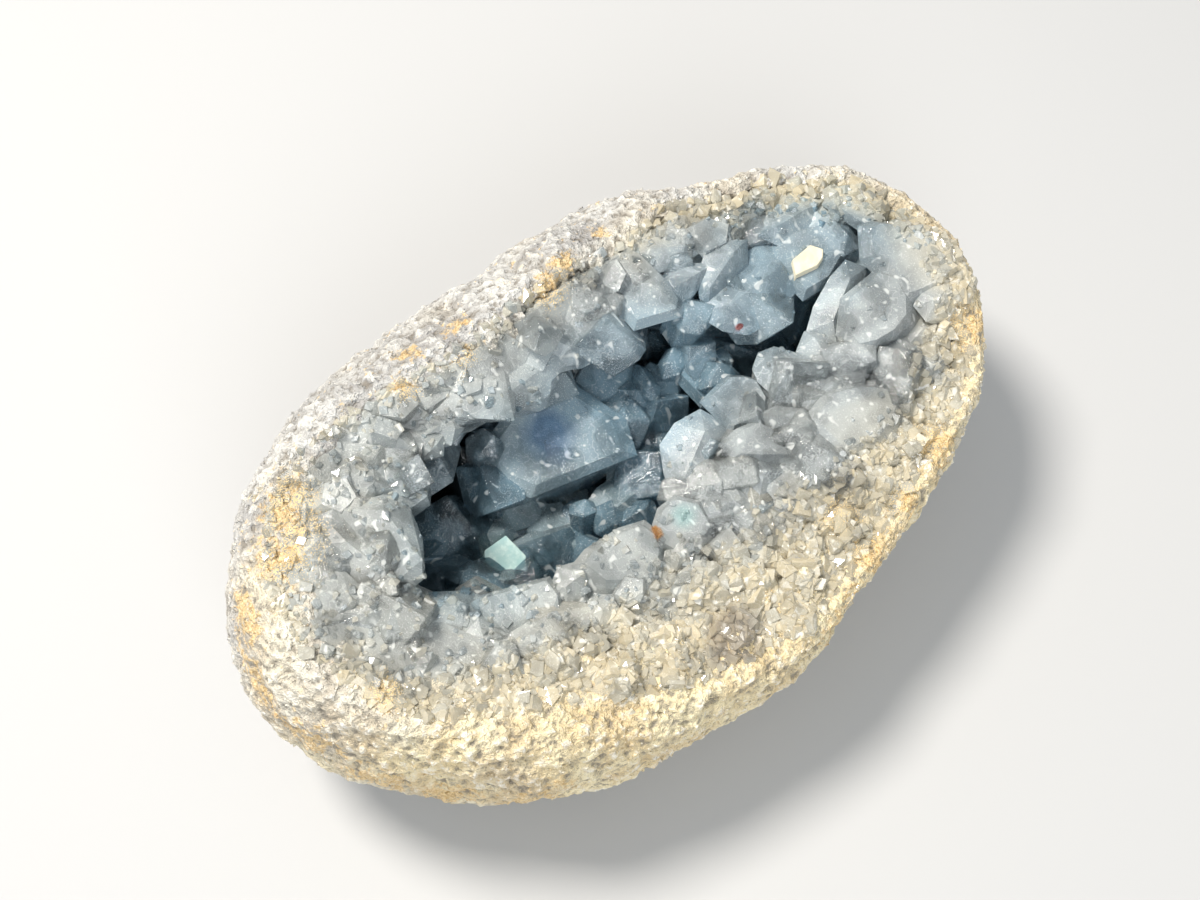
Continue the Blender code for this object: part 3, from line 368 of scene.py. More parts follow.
def skin_height(point):
    """How far the skin stands proud of the CAD surface, in mm."""
    lump = 0.75 * rough(point, 8.0, 0.0) + 0.5 * rough(point, 3.2, 9.0)
    pit = min(0.0, rough(point, 2.3, 31.0) + 0.2)
    return lump + 0.42 * skin_relief(point) + 1.1 * pit


def warmth(point):
    """Cream on the near and right sides, greyer and whiter on the far left."""
    side = 0.5 - point[1] * 0.018 + point[0] * 0.002 + 0.5 * rough(point, 12.0, 5.0)
    return min(1.0, max(0.0, side))


# Orange-yellow stains on the stone: place and reach, in mm.
STAINS = (
    ((-46.0, 17.0, 48.0), 5.0), ((-49.0, 13.0, 47.0), 4.5), ((-43.0, 20.0, 48.0), 3.0),
    ((-58.0, 11.0, 44.0), 4.0), ((-62.0, 6.0, 38.0), 4.0), ((-61.0, -4.0, 34.0), 4.5),
    ((-57.0, -14.0, 28.0), 4.5), ((-51.0, -21.0, 25.0), 4.5), ((-50.0, -9.0, 44.0), 2.5),
    ((-41.0, -27.0, 24.0), 4.5), ((-19.0, 26.0, 50.0), 2.0), ((-11.0, 25.0, 50.0), 2.0),
    ((-23.0, 22.0, 50.0), 2.0), ((-13.0, 20.0, 50.0), 2.0), ((3.0, 21.0, 49.0), 2.5),
    ((7.0, 24.0, 49.0), 2.0), ((16.0, 26.0, 47.0), 1.5), ((36.0, -28.0, 34.0), 3.5),
    ((52.0, -18.0, 36.0), 4.0), ((54.0, -14.0, 37.0), 2.5), ((17.0, -27.0, 33.0), 3.0),
    ((16.0, -34.0, 32.0), 2.5), ((6.0, -38.0, 28.0), 3.0), ((11.0, -37.0, 29.0), 3.0),
    ((26.0, -32.0, 33.0), 3.0), ((-38.0, -30.0, 30.0), 2.0),
)


def staining(point):
    best = 0.0
    for place, reach in STAINS:
        best = max(best, 1.15 - math.dist(point, place) / (reach * 1.5))
    return best + 0.4 * rough(point, 3.0, 17.0)


def write_attribute(mesh, name, values):
    made = mesh.attributes.new(name, "FLOAT", "POINT")
    made.data.foreach_set("value", np.array(values, dtype=np.float32))


def make_skin(shell, stone):
    work = welded(shell)
    inside = []
    for face in work.faces:
        centre = face.calc_center_median() / MM
        away = Vector((centre.x, centre.y, 0.0))
        if face.normal.dot(away) < 0.0 and stone.depth(centre) > INSIDE_KEPT:
            inside.append(face)
        elif centre.z < 24.0 and face.normal.z > 0.6:
            inside.append(face)
    bmesh.ops.delete(work, geom=inside, context="FACES")
    mesh = bpy.data.meshes.new("skin")
    work.to_mesh(mesh)
    work.free()
    made = bpy.data.objects.new("skin", mesh)
    bpy.context.scene.collection.objects.link(made)
    round_off = made.modifiers.new("round", "SUBSURF")
    round_off.levels = round_off.render_levels = 2
    graph = bpy.context.evaluated_depsgraph_get()
    smooth = bpy.data.meshes.new_from_object(made.evaluated_get(graph))
    made.modifiers.clear()
    work = bmesh.new()
    work.from_mesh(smooth)
    bmesh.ops.triangulate(work, faces=work.faces)
    refine(work, stone)
    work.normal_update()
    warm, stain, fine = [], [], []
    moves = []
    for vert in work.verts:
        point = vert.co / MM
        fade = min(1.0, max(0.0, (point.z - 0.3) / SKIN_FLAT))
        moves.append(vert.normal * skin_height(point) * fade * MM)
        warm.append(warmth(point))
        stain.append(staining(point))
        fine.append(skin_relief(point))
    for vert, move in zip(work.verts, moves):
        vert.co += move
        vert.co.z = max(vert.co.z, 0.0)
    work.to_mesh(smooth)
    work.free()
    smooth.validate()
    made.data = smooth
    smooth.name = "skin"
    write_attribute(smooth, "warm", warm)
    write_attribute(smooth, "stain", stain)
    write_attribute(smooth, "relief", fine)
    print("skin triangles", len(smooth.polygons))
    return made


# Crystal templates

def hull(points):
    """Vertices and triangles of the closed convex solid round the points."""
    work = bmesh.new()
    for point in points:
        work.verts.new(point)
    made = bmesh.ops.convex_hull(work, input=work.verts)
    spare = {item for key in ("geom_interior", "geom_unused") for item in made[key]}
    loose = [item for item in spare if isinstance(item, bmesh.types.BMVert)]
    bmesh.ops.delete(work, geom=loose, context="VERTS")
    bmesh.ops.dissolve_limit(work, angle_limit=math.radians(3.0), verts=work.verts, edges=work.edges)
    return work


def chamfered(points, width):
    work = hull(points)
    bmesh.ops.bevel(work, geom=list(work.edges), offset=width, segments=1, affect="EDGES",
                    clamp_overlap=True)
    bmesh.ops.triangulate(work, faces=work.faces)
    bmesh.ops.recalc_face_normals(work, faces=work.faces)
    work.verts.index_update()
    verts = np.array([vert.co for vert in work.verts])
    faces = np.array([[vert.index for vert in face.verts] for face in work.faces])
    work.free()
    return verts, faces


def prism_points(rng):
    """A stout prism with a chisel end, one unit in half width, along +Z."""
    slim = rng.uniform(0.6, 1.0)
    corner = rng.uniform(0.4, 0.8)
    length = rng.uniform(0.9, 1.5)
    shoulder = length * rng.uniform(0.15, 0.6)
    slope = rng.uniform(-0.3, 0.3, 2)
    ridge = rng.uniform(0.1, 0.7)
    aside = rng.uniform(-0.3, 0.3, 2)
    section = ((1.0, 0.0), (corner, slim), (-corner, slim), (-1.0, 0.0), (-corner, -slim),
               (corner, -slim))
    points = []
    for x, y in section:
        points.append((x * 0.9, y * 0.9, -1.0))
        points.append((x, y, shoulder + x * slope[0] + y * slope[1]))
    points.append((aside[0] - ridge, aside[1], length))
    points.append((aside[0] + ridge, aside[1], length * rng.uniform(0.85, 1.0)))
    return points


def block_points(rng):
    """A cleaved block, tipped over, with some of its corners broken off."""
    turn = Matrix.Rotation(rng.uniform(-0.7, 0.7), 3, "X") @ Matrix.Rotation(rng.uniform(-0.7, 0.7), 3, "Y")
    points = []
    for at in range(8):
        corner = np.array((1.0 if at & 1 else -1.0, 0.8 if at & 2 else -0.8, 0.85 if at & 4 else -0.85))
        corner += rng.uniform(-0.22, 0.22, 3)
        if rng.random() < 0.65:
            points.append(tuple(turn @ Vector(corner)))
            continue
        for axis in range(3):
            cut = corner.copy()
            cut[axis] *= rng.uniform(0.2, 0.6)
            points.append(tuple(turn @ Vector(cut)))
    return points


def grain_points(rng):
    """A sugary grain with a few flat sides."""
    points = []
    for _ in range(8):
        way = rng.normal(size=3)
        points.append(tuple(way / np.linalg.norm(way) * rng.uniform(0.7, 1.1)))
    return points


def templates(maker, count, seed, width):
    rng = np.random.default_rng(seed)
    return [chamfered(maker(rng), width) for _ in range(count)]


def turned_to(direction, turn):
    """Three unit axes with the third along the direction, turned about it."""
    axis = direction / np.linalg.norm(direction)
    side = np.cross(axis, (0.3, 1.0, 0.2))
    side /= np.linalg.norm(side)
    other = np.cross(axis, side)
    a = side * math.cos(turn) + other * math.sin(turn)
    return np.array((a, np.cross(axis, a), axis))


def scattered(name, seeds, shapes, rng):
    """One mesh of many crystals.  Each seed is (place, direction, half width, shade, warm)."""
    verts, faces = [], []
    tint, shade_by, warm_by = [], [], []
    count = 0
    for place, direction, width, shade, warm in seeds:
        shape_verts, shape_faces = shapes[rng.integers(len(shapes))]
        axes = turned_to(direction, rng.uniform(0.0, 2.0 * math.pi))
        stretch = rng.uniform(0.8, 1.25, 3) * width
        placed = (shape_verts * stretch) @ axes + place
        verts.append(placed)
        faces.append(shape_faces + count)
        size = len(placed)
        count += size
        tint.append(np.full(size, rng.random()))
        shade_by.append(np.full(size, shade))
        warm_by.append(np.full(size, warm))
    verts = np.vstack(verts) * MM
    faces = np.vstack(faces)
    made = new_mesh(name, verts.tolist(), faces.tolist())
    write_attribute(made.data, "tint", np.concatenate(tint))
    write_attribute(made.data, "shade", np.concatenate(shade_by))
    write_attribute(made.data, "warm", np.concatenate(warm_by))
    write_attribute(made.data, "stain", [staining(vert.co / MM) for vert in made.data.vertices])
    print(name, "crystals", len(seeds), "triangles", len(faces))
    return made


# Crystal crust

# Crystal faces with a painted coloured reflection: outline seen from above, place and lean of the middle, in
# mm, and the places that small crystals leave bare, with their reach.
PAINTED_TURQUOISE_REFLECTION = ((-25.9, 3.7), (-24.5, 4.1), (-20.9, 3.6), (-20.4, -0.3), (-22.0, -2.6),
                  (-24.0, -1.0), (-25.7, 1.6))
PAINTED_GOLDEN_REFLECTION = ((35.8, 3.8), (36.8, 5.8), (40.4, 5.8), (41.6, 4.2), (40.8, 3.4), (39.4, 3.0),
               (38.3, 3.7))
BARE_PLACES = (((-22.9, 1.4), 5.5), ((38.8, 4.5), 6.0), ((-5.5, 9.5), 10.5))
PAINTED_REFLECTION_FACES = (
    ("turquoise_reflection_face", PAINTED_TURQUOISE_REFLECTION, (-22.9, 1.4, 26.2), (-0.28, -0.33, 0.90)),
    ("golden_reflection_face", PAINTED_GOLDEN_REFLECTION, (38.8, 4.5, 41.7), (-0.11, -0.35, 0.93)),
)

def face_patches(work):
    """The area of the flat patch that every face of the mesh belongs to, in square mm."""
    limit = math.radians(SAME_FACE_TURN)
    patch = {}
    for seed in work.faces:
        if seed in patch:
            continue
        group, queue = [], [seed]
        patch[seed] = None
        while queue:
            face = queue.pop()
            group.append(face)
            for edge in face.edges:
                for other in edge.link_faces:
                    if other not in patch and other.normal.angle(face.normal, 9.0) < limit:
                        patch[other] = None
                        queue.append(other)
        area = sum(face.calc_area() for face in group) / MM ** 2
        for face in group:
            patch[face] = area
    return patch


# Painted shade: the crystals go near black round this place, the hollow's darkest, under its left wall, in
# mm.
PAINTED_SHADE_PLACE = (-20.0, 19.0, 22.0)
PAINTED_SHADE_REACH = 12.0


def crystal_shade(stone, point):
    """Darker and bluer deeper in the hollow, blue along its middle, pale near the rim, with painted shade
    near black round the hollow's darkest place.
    """
    along = min(46.0, max(-28.0, point[0]))
    away = math.hypot(point[0] - along, point[1] - 4.0 - 0.06 * along)
    blue = 1.0 - min(1.0, max(0.0, (away - 6.0) / 11.0))
    shade = 1.0 - max(0.0, stone.depth(point)) / 45.0 - 0.42 * blue
    shade = max(0.0, shade + 0.15 * rough(point, 6.0, 3.0))
    # Painted shade: the tone drops towards near black round the hollow's darkest place.
    painted_shade = max(0.0, 1.0 - math.dist(point, PAINTED_SHADE_PLACE) / PAINTED_SHADE_REACH)
    return min(1.0, shade - 1.1 * painted_shade)


def crystal_warm(stone, point):
    """Cream towards the stone's rim, reaching furthest in on the near side."""
    angle = math.atan2(point[1], point[0])
    near = max(0.0, -math.sin(angle + 0.25))
    right = max(0.0, math.cos(angle + 0.6))
    reach = 5.5 + 14.0 * near ** 1.5 + 4.0 * right + 4.0 * rough(point, 5.0, 13.0)
    share = 1.0 - stone.from_crest(point) / reach
    left = max(0.0, -math.cos(angle))
    return min(0.85, max(0.16 * left, share * (0.5 + 0.8 * max(near, right)) * 1.5))


def make_blocks(crust, stone):
    """The CAD crust with its edges chipped round."""
    work = welded(crust)
    sharp = [edge for edge in work.edges
             if len(edge.link_faces) == 2 and edge.calc_face_angle(0.0) > math.radians(18.0)]
    bmesh.ops.bevel(work, geom=sharp, offset=0.16 * MM, segments=1, affect="EDGES",
                    clamp_overlap=True)
    bmesh.ops.triangulate(work, faces=work.faces)
    mesh = bpy.data.meshes.new("blocks")
    work.to_mesh(mesh)
    work.free()
    made = bpy.data.objects.new("blocks", mesh)
    bpy.context.scene.collection.objects.link(made)
    shade, warm, tint = [], [], []
    for vert in mesh.vertices:
        point = vert.co / MM
        shade.append(crystal_shade(stone, point))
        warm.append(crystal_warm(stone, point))
        tint.append(0.5 + 0.5 * rough(point, 5.0, 41.0))
    write_attribute(mesh, "shade", shade)
    write_attribute(mesh, "warm", warm)
    write_attribute(mesh, "tint", tint)
    write_attribute(mesh, "stain", [staining(vert.co / MM) for vert in mesh.vertices])
    print("blocks triangles", len(mesh.polygons))
    return made


def surface_samples(work, count, rng, weight):
    """Random places on the mesh with their normals, more where the weight is larger."""
    faces = list(work.faces)
    shares = np.array([face.calc_area() * weight(face) for face in faces])
    picks = rng.choice(len(faces), size=count, p=shares / shares.sum())
    out = []
    for pick in picks:
        a, b, c = (vert.co for vert in faces[pick].verts)
        u, v = rng.random(2)
        if u + v > 1.0:
            u, v = 1.0 - u, 1.0 - v
        place = a + (b - a) * u + (c - a) * v
        out.append((np.array(place) / MM, np.array(faces[pick].normal)))
    return out


def spaced(samples, gap_of):
    """The samples that keep their gap from those kept before them."""
    kept = []
    cells = {}
    for place, normal in samples:
        gap = gap_of(place)
        cell = tuple((place // 3.0).astype(int))
        clear = True
        for dx in (-1, 0, 1):
            for dy in (-1, 0, 1):
                for dz in (-1, 0, 1):
                    for other in cells.get((cell[0] + dx, cell[1] + dy, cell[2] + dz), ()):
                        if np.sum((other - place) ** 2) < gap * gap:
                            clear = False
                            break
                    if not clear:
                        break
                if not clear:
                    break
            if not clear:
                break
        if clear:
            kept.append((place, normal))
            cells.setdefault(cell, []).append(place)
    return kept


class Relief:
    """Heights of the crust seen from straight above, and the level its crystals reach."""

    def __init__(self, crust):
        work = welded(crust)
        work.faces.index_update()
        tree = BVHTree.FromBMesh(work)
        points = np.array([vert.co for vert in work.verts]) / MM
        patch = {face.index: area for face, area in face_patches(work).items()}
        work.free()
        self.low = points.min(axis=0)[:2]
        span = points.max(axis=0)[:2] - self.low
        self.shape = tuple((span / RELIEF_STEP).astype(int) + 2)
        self.top = np.full(self.shape, np.nan)
        self.own = np.zeros(self.shape)
        for i in range(self.shape[0]):
            for j in range(self.shape[1]):
                x, y = self.low + np.array((i, j)) * RELIEF_STEP
                hit, _, at, _ = tree.ray_cast(Vector((x, y, 90.0)) * MM, Vector((0.0, 0.0, -1.0)))
                if hit is not None:
                    self.top[i, j] = hit.z / MM
                    self.own[i, j] = patch[at]
        self.level = self.levelled(self.top)
        self.rise = np.gradient(self.level, RELIEF_STEP)

    def levelled(self, top):
        """The level of the highest crystals near every place, made even."""
        reach = int(round(LEVEL_REACH / RELIEF_STEP))
        filled = np.where(np.isnan(top), -1e3, top)
        best = filled.copy()
        for dx in range(-reach, reach + 1):
            for dy in range(-reach, reach + 1):
                if dx * dx + dy * dy <= reach * reach:
                    best = np.maximum(best, np.roll(filled, (dx, dy), axis=(0, 1)))
        even = np.zeros_like(best)
        count = 0
        for dx in range(-reach, reach + 1):
            for dy in range(-reach, reach + 1):
                even += np.roll(best, (dx, dy), axis=(0, 1))
                count += 1
        return even / count

    def at(self, grid, place):
        i, j = ((np.array(place[:2]) - self.low) / RELIEF_STEP).astype(int)
        if not (0 <= i < self.shape[0] and 0 <= j < self.shape[1]):
            return float("nan")
        return grid[i, j]


def beside_hollow(place, stone, relief):
    """Whether the crust drops into the hollow within a crystal's reach of the place."""
    for step in range(8):
        turn = step * math.pi / 4
        x = place[0] + HOLLOW_CLEAR * math.cos(turn)
        y = place[1] + HOLLOW_CLEAR * math.sin(turn)
        top = relief.at(relief.top, (x, y))
        if not np.isnan(top) and stone.depth((x, y, top)) > HOLLOW_DEPTH + 3.0:
            return True
    return False


def over_bare_face(place):
    """Whether a place lies on a face that no small crystal covers."""
    return any(math.dist(place[:2], middle) < reach for middle, reach in BARE_PLACES)


def make_fill(crust, stone, relief, rng):
    """Crystals wedged between the large ones, level with them, finer towards the rim."""
    low, shape = relief.low, relief.shape
    samples = []
    for _ in range(16000):
        x, y = low + rng.random(2) * np.array(shape) * RELIEF_STEP
        top = relief.at(relief.top, (x, y))
        if np.isnan(top):
            continue
        if stone.depth((x, y, top)) > HOLLOW_DEPTH:
            continue
        level = max(top, relief.at(relief.level, (x, y)))
        samples.append((np.array((x, y, min(top + 3.0, level))), top))
    gaps = {}

    def gap_at(place):
        return 1.5 + min(2.5, stone.from_crest(place) * 0.2)

    kept = spaced(samples, gap_at)
    fine, coarse = [], []
    for place, top in kept:
        missing = place[2] - top
        if relief.at(relief.own, place) > OWN_FACE_AREA and missing < 1.6 and rng.random() < 0.75:
            continue
        rim = stone.from_crest(place)
        if beside_hollow(place, stone, relief) or over_bare_face(place) or rim < 2.4:
            continue
        size = min(gap_at(place) * rng.uniform(0.7, 1.25), (rim - 1.0) / 1.2)
        slope = np.array((relief.at(relief.rise[0], place), relief.at(relief.rise[1], place)))
        direction = np.array((-slope[0] * 0.6, -slope[1] * 0.6, 1.0)) + rng.normal(size=3) * 0.35
        direction /= np.linalg.norm(direction)
        crown = place - np.array((0.0, 0.0, rng.uniform(0.2, 1.5) + 1.8 * crystal_warm(stone, place)))
        shade = crystal_shade(stone, crown) + rng.uniform(-0.15, 0.15)
        warm = min(1.0, max(0.0, crystal_warm(stone, crown) + rng.uniform(-0.12, 0.12)))
        seed = (crown - direction * size * 1.2, direction, size, min(1.0, max(0.0, shade)), warm)
        if stone.holds(seed):
            (fine if size < 2.0 else coarse).append(seed)
    return (scattered("fill_fine", fine, templates(block_points, 24, 3, 0.03)
                      + templates(prism_points, 12, 8, 0.03), rng),
            scattered("fill_coarse", coarse, templates(prism_points, 16, 5, 0.03)
                      + templates(block_points, 16, 6, 0.03), rng))


def make_druse(crust, stone, rng):
    """Small crystals over the lining in the depth of the hollow."""
    work = welded(crust)
    work.faces.ensure_lookup_table()
    patch = face_patches(work)

    def weight(face):
        centre = np.array(face.calc_center_median()) / MM
        if face.normal.z < -0.5 or centre[2] < 12.0 or stone.depth(centre) < HOLLOW_DEPTH - 2.0:
            return 0.0
        return 1.0 if patch[face] < OWN_FACE_AREA else 0.0

    samples = surface_samples(work, 2600, rng, weight)
    work.free()
    kept = spaced(samples, lambda place: 4.2)
    seeds = []
    for place, normal in kept:
        if over_bare_face(place):
            continue
        size = rng.uniform(2.4, 4.8)
        direction = normal + rng.normal(size=3) * 0.4 + np.array((0.0, -0.1, 0.45))
        shade = crystal_shade(stone, place) + rng.uniform(-0.1, 0.1)
        seed = (place - normal * size * 0.5, direction, size, shade, 0.0)
        if stone.holds((seed[0], direction, size * 1.6)):
            seeds.append(seed)
    return scattered("druse", seeds, templates(prism_points, 16, 3, 0.03)
                     + templates(block_points, 16, 4, 0.03), rng)


def bare_tree(nodes):
    """One ray target made of the given CAD nodes."""
    work = bmesh.new()
    for one in nodes:
        work.from_mesh(one.data)
    tree = BVHTree.FromBMesh(work)
    work.free()
    return tree


def mantle_reach(angle):
    """How far the sugary skin runs in over the crystals, in mm."""
    side = math.sin(angle)
    near = max(0.0, -side)
    left = max(0.0, -math.cos(angle))
    point = (40.0 * math.cos(angle), 40.0 * math.sin(angle), 0.0)
    wander = 3.0 * rough(point, 7.0, 53.0) + 3.0 * rough(point, 2.2, 59.0)
    return 3.4 + 5.5 * near + 3.6 * left + wander


def make_mantle(shell, crust, stone):
    """Sugary crust draped over the rim, from the skin in over the first crystals."""
    tree = bare_tree((shell, crust))
    heights = np.zeros((MANTLE_COLUMNS, MANTLE_ROWS))
    places = np.zeros((MANTLE_COLUMNS, MANTLE_ROWS, 2))
    for column in range(MANTLE_COLUMNS):
        angle = -math.pi + 2.0 * math.pi * column / MANTLE_COLUMNS
        outer = stone.crest_radius(angle) + 0.9
        inner = outer - 0.9 - max(2.4, mantle_reach(angle))
        for row in range(MANTLE_ROWS):
            radius = outer + (inner - outer) * row / (MANTLE_ROWS - 1)
            x, y = radius * math.cos(angle), radius * math.sin(angle)
            hit = tree.ray_cast(Vector((x, y, 90.0)) * MM, Vector((0.0, 0.0, -1.0)))[0]
            places[column, row] = (x, y)
            heights[column, row] = hit.z / MM if hit is not None else 0.0
    closed = heights.copy()
    padded = np.pad(heights, ((0, 0), (2, 2)), mode="edge")
    for shift in range(5):
        closed = np.maximum(closed, padded[:, shift:shift + MANTLE_ROWS])
    even = closed.copy()
    for _ in range(10):
        even[:, 1:-1] = (even[:, :-2] + even[:, 1:-1] * 2.0 + even[:, 2:]) / 4.0
        even = (np.roll(even, 1, axis=0) + even * 2.0 + np.roll(even, -1, axis=0)) / 4.0
    verts, faces, warm, stain, fine = [], [], [], [], []
    for column in range(MANTLE_COLUMNS):
        for row in range(MANTLE_ROWS):
            x, y = places[column, row]
            share = row / (MANTLE_ROWS - 1)
            drop = 0.9 * max(0.0, 1.0 - share / 0.12) + 2.2 * max(0.0, (share - 0.72) / 0.28) ** 2
            point = np.array((x, y, even[column, row]))
            point[2] += skin_height(point) * 0.8 - drop - 0.05
            verts.append(tuple(point * MM))
            warm.append(warmth(point))
            stain.append(staining(point))
            fine.append(skin_relief(point))
    for column in range(MANTLE_COLUMNS):
        after = (column + 1) % MANTLE_COLUMNS
        for row in range(MANTLE_ROWS - 1):
            a, b = column * MANTLE_ROWS + row, after * MANTLE_ROWS + row
            faces.append((a, b, b + 1, a + 1))
    made = new_mesh("mantle", verts, faces)
    write_attribute(made.data, "warm", warm)
    write_attribute(made.data, "stain", stain)
    write_attribute(made.data, "relief", fine)
    print("mantle triangles", 2 * len(faces))
    return made


def make_rim_crystals(mantle, stone, rng):
    """Small crystals breaking through the sugary crust, more of them further in."""
    work = bmesh.new()
    work.from_mesh(mantle.data)
    bmesh.ops.triangulate(work, faces=work.faces)

    def weight(face):
        centre = np.array(face.calc_center_median()) / MM
        return 0.02 + min(1.0, max(0.0, stone.from_crest(centre) - 2.0) / 3.0) ** 1.5

    samples = surface_samples(work, 7000, rng, weight)
    work.free()
    kept = spaced(samples, lambda place: 1.1 + 1.6 * rng.random())
    seeds = []
    for place, normal in kept:
        rim = stone.from_crest(place)
        size = (0.4 + min(1.1, 0.16 * rim)) * rng.uniform(0.7, 1.4)
        direction = normal * 0.6 + np.array((0.0, 0.0, 0.7)) + rng.normal(size=3) * 0.35
        direction /= np.linalg.norm(direction)
        out = (rng.uniform(-0.1, 0.4) - 0.35 * crystal_warm(stone, place)) * size
        shade = min(1.0, max(0.0, crystal_shade(stone, place) + rng.uniform(-0.1, 0.1)))
        warm = min(1.0, max(0.0, crystal_warm(stone, place) + rng.uniform(-0.25, 0.3)))
        seed = (place + direction * (out - size * 1.1), direction, size, shade, warm)
        if stone.holds(seed):
            seeds.append(seed)
    return scattered("rim_crystals", seeds, templates(block_points, 24, 15, 0.03)
                     + templates(prism_points, 10, 16, 0.03), rng)


def make_chips(pieces, stone, relief, rng):
    """Fine chips and specks of crystal on whatever they fall on, thickest by the near rim."""
    work = bmesh.new()
    for piece in pieces:
        work.from_mesh(piece.data)
    tree = BVHTree.FromBMesh(work)
    work.free()
    seeds = []
    while len(seeds) < CHIPS:
        x, y = relief.low + rng.random(2) * np.array(relief.shape) * RELIEF_STEP
        hit, normal = tree.ray_cast(Vector((x, y, 90.0)) * MM, Vector((0.0, 0.0, -1.0)))[:2]
        if hit is None or normal.z < 0.25:
            continue
        place = np.array(hit) / MM
        rim = stone.from_crest(place)
        warm = crystal_warm(stone, place)
        if rim < 1.5 or stone.depth(place) > HOLLOW_DEPTH or rng.random() > 0.02 + warm * 1.3:
            continue
        size = 0.25 + (0.3 + 0.75 * warm) * rng.random() ** 1.5
        direction = np.array(normal) + rng.normal(size=3) * 0.6
        shade = min(1.0, max(0.0, crystal_shade(stone, place) + rng.uniform(-0.15, 0.1)))
        warm = min(1.0, max(0.0, warm + rng.uniform(-0.3, 0.35)))
        sunk = size * (0.35 + 0.45 * warm)
        seeds.append((place - np.array(normal) * sunk, direction, size, shade, warm))
    return scattered("chips", seeds, templates(block_points, 24, 21, 0.0)
                     + templates(prism_points, 8, 22, 0.0), rng)


def make_grains(skin, mantle, rng):
    """Sugary grains grown on the skin."""
    seeds = []
    for piece, count in ((skin, 2600), (mantle, 2600)):
        work = bmesh.new()
        work.from_mesh(piece.data)
        bmesh.ops.triangulate(work, faces=work.faces)
        samples = surface_samples(work, count, rng,
                                  lambda face: 1.0 if face.normal.z > 0.1 else 0.05)
        work.free()
        for place, normal in samples:
            size = 0.2 + 0.4 * rng.random() ** 3
            direction = normal + rng.normal(size=3) * 0.7
            if place[2] < SKIN_FLAT:
                continue
            seeds.append((place - normal * size * 0.2, direction, size, 0.95, warmth(place)))
    made = scattered("grains", seeds, templates(grain_points, 20, 9, 0.0), rng)
    # The grains take a raised relief, so the skin's painted highlight makes them paler.
    write_attribute(made.data, "relief", np.full(len(made.data.vertices), 0.35))
    return made


def make_painted_reflection_face(name, outline, middle, lean):
    """A crystal whose top is the given outline, lying on a leaning plane."""
    points = []
    for x, y in outline:
        rise = -(lean[0] * (x - middle[0]) + lean[1] * (y - middle[1])) / lean[2]
        points.append((x, y, middle[2] + rise))
        wide = (middle[0] + (x - middle[0]) * 1.25, middle[1] + (y - middle[1]) * 1.25)
        points.append((wide[0], wide[1], middle[2] + rise - 3.5))
    verts, faces = chamfered(points, 0.08)
    return new_mesh(name, (verts * MM).tolist(), faces.tolist())


# Floor, light and camera

def make_floor():
    made = new_mesh("floor", [(-4.0, -4.0, 0.0), (4.0, -4.0, 0.0), (4.0, 4.0, 0.0), (-4.0, 4.0, 0.0)],
                    [(0, 1, 2, 3)])
    material, tree, shader, coords = new_material("pale_floor")
    shader.inputs["Base Color"].default_value = (0.55, 0.55, 0.55, 1.0)
    shader.inputs["Roughness"].default_value = 0.9
    made.data.materials.append(material)


def aimed(name, data, place, target):
    made = bpy.data.objects.new(name, data)
    bpy.context.scene.collection.objects.link(made)
    away = Vector(place) - Vector(target)
    made.matrix_world = Matrix.Translation(Vector(place)) @ away.to_track_quat("Z", "Y").to_matrix().to_4x4()
    return made


def make_light():
    key = bpy.data.lights.new("key", "AREA")
    key.shape = "DISK"
    key.size = 0.2
    key.energy = 6.0
    key.color = (1.0, 0.95, 0.88)
    aimed("key", key, (-0.14, 0.27, 0.65), (0.0, 0.0, 0.03))
    fill = bpy.data.lights.new("fill", "AREA")
    fill.shape = "DISK"
    fill.size = 0.6
    fill.energy = 3.8
    fill.color = (0.96, 0.98, 1.0)
    aimed("fill", fill, (-0.35, -0.60, 0.55), (0.0, 0.0, 0.03))
    world = bpy.data.worlds.new("studio")
    bpy.context.scene.world = world
    world.use_nodes = True
    tree = world.node_tree
    back = tree.nodes["Background"]
    way = node(tree, "ShaderNodeSeparateXYZ")
    tree.links.new(node(tree, "ShaderNodeTexCoord").outputs["Generated"], way.inputs[0])
    up = ranged(tree, way.outputs["Z"], -0.2, 0.9)
    tree.links.new(mixed(tree, up, (0.34, 0.36, 0.38), (0.90, 0.96, 1.0)), back.inputs["Color"])
    back.inputs["Strength"].default_value = 0.5


def make_camera():
    azimuth, elevation = math.radians(VIEW_AZIMUTH), math.radians(VIEW_ELEVATION)
    back = Vector((math.sin(azimuth) * math.cos(elevation),
                   -math.cos(azimuth) * math.cos(elevation), math.sin(elevation)))
    data = bpy.data.cameras.new("camera")
    data.lens = VIEW_LENS
    data.sensor_width = 36.0
    aim = Vector(VIEW_AIM) * MM
    made = aimed("camera", data, aim + back * VIEW_DISTANCE * MM, aim)
    data.clip_start = 0.01
    bpy.context.scene.camera = made


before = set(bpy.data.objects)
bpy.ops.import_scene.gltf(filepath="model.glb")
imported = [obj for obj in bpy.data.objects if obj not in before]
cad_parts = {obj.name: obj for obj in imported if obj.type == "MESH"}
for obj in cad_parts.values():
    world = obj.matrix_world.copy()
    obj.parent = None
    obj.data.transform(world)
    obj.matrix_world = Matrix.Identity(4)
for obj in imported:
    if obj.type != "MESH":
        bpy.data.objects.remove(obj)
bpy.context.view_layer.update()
shell_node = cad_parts["geode_shell"]
crust_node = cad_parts["crystal_crust"]
stone = Stone(shell_node)
rng = np.random.default_rng(SEED)

skin_look = skin_material()
block_look = celestite_material("clouded_celestite", 0.78, True)
crystal_look = celestite_material("clear_celestite", 0.96, True)
chip_look = celestite_material("broken_celestite", 0.9, False)
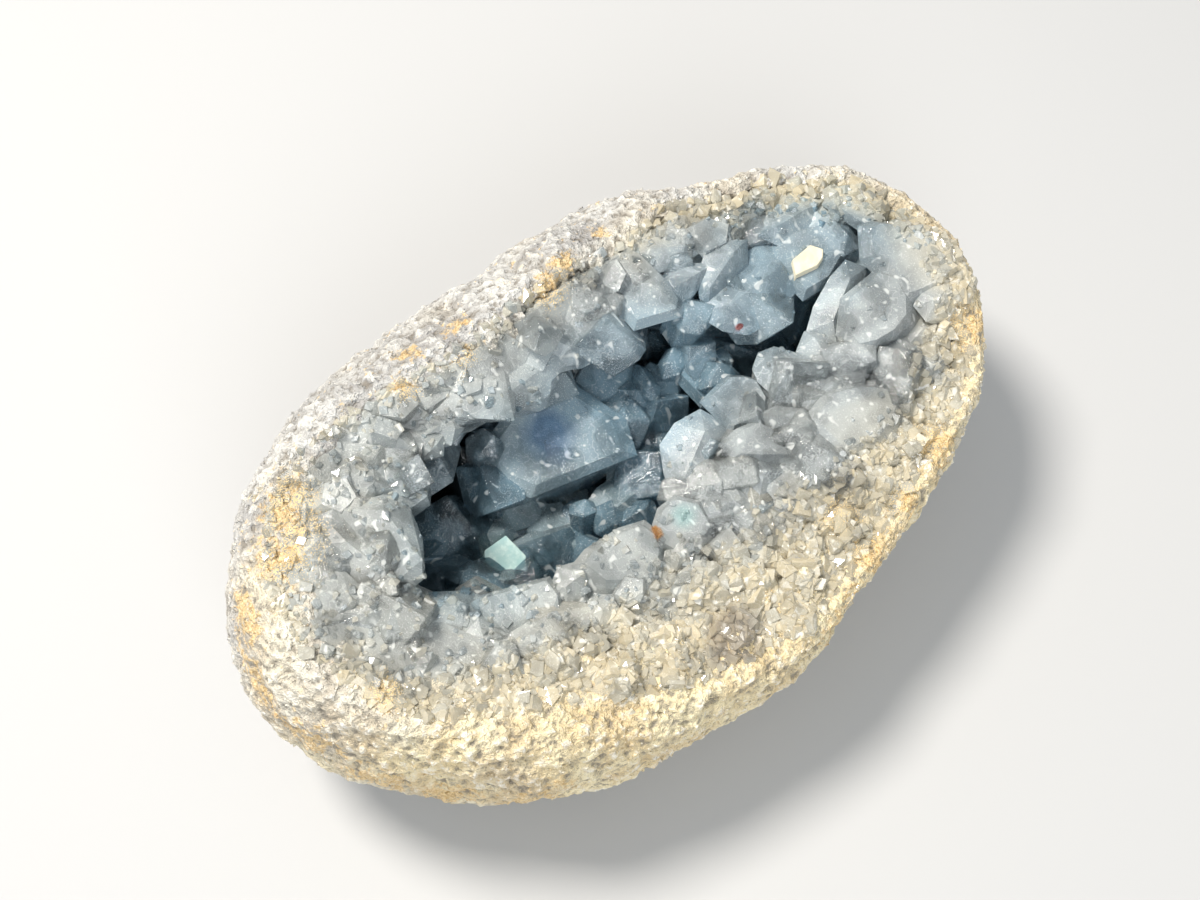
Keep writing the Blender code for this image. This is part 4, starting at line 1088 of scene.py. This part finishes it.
# Painted reflections: two crystal faces coloured turquoise and golden as if they mirrored coloured
# surroundings.
turquoise_reflection_look = painted_reflection_material("turquoise_reflection_paint", (0.45, 0.68, 0.66), (0.62, 0.80, 0.76))
golden_reflection_look = painted_reflection_material("golden_reflection_paint", (0.93, 0.84, 0.62), (0.72, 0.66, 0.50))

skin = make_skin(shell_node, stone)
skin.data.materials.append(skin_look)
blocks = make_blocks(crust_node, stone)
blocks.data.materials.clear()
blocks.data.materials.append(block_look)
relief = Relief(crust_node)
fill = make_fill(crust_node, stone, relief, rng)
druse = make_druse(crust_node, stone, rng)
mantle = make_mantle(shell_node, crust_node, stone)
mantle.data.materials.append(skin_look)
rim_crystals = make_rim_crystals(mantle, stone, rng)
chips = make_chips((mantle, blocks, *fill), stone, relief, rng)
grains = make_grains(skin, mantle, rng)
grains.data.materials.append(skin_look)
for piece in (*fill, druse):
    piece.data.materials.append(crystal_look)
for piece in (rim_crystals, chips):
    piece.data.materials.append(chip_look)
# The crystal faces that carry the painted reflections.
bright = [make_painted_reflection_face(*values) for values in PAINTED_REFLECTION_FACES]
for piece, look in zip(bright, (turquoise_reflection_look, golden_reflection_look)):
    piece.data.materials.append(look)

for piece, node_name, slot in ((skin, "geode_shell", "stone_skin"),
                               (blocks, "crystal_crust", "celestite"),
                               (fill[0], "crystal_crust", "celestite"),
                               (fill[1], "crystal_crust", "celestite"),
                               (druse, "crystal_crust", "celestite"),
                               (rim_crystals, "crystal_crust", "celestite"),
                               (chips, "crystal_crust", "celestite"),
                               (bright[0], "crystal_crust", "celestite"),
                               (bright[1], "crystal_crust", "celestite"),
                               (mantle, "geode_shell", "stone_skin"),
                               (grains, "geode_shell", "stone_skin")):
    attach(piece, "root")
    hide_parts(node_name)

make_floor()
make_light()
bpy.context.scene.cycles.max_bounces = 6
bpy.context.scene.cycles.diffuse_bounces = 3
bpy.context.scene.cycles.glossy_bounces = 3
bpy.context.scene.cycles.transmission_bounces = 6
make_camera()
bpy.context.scene.view_settings.view_transform = "Standard"
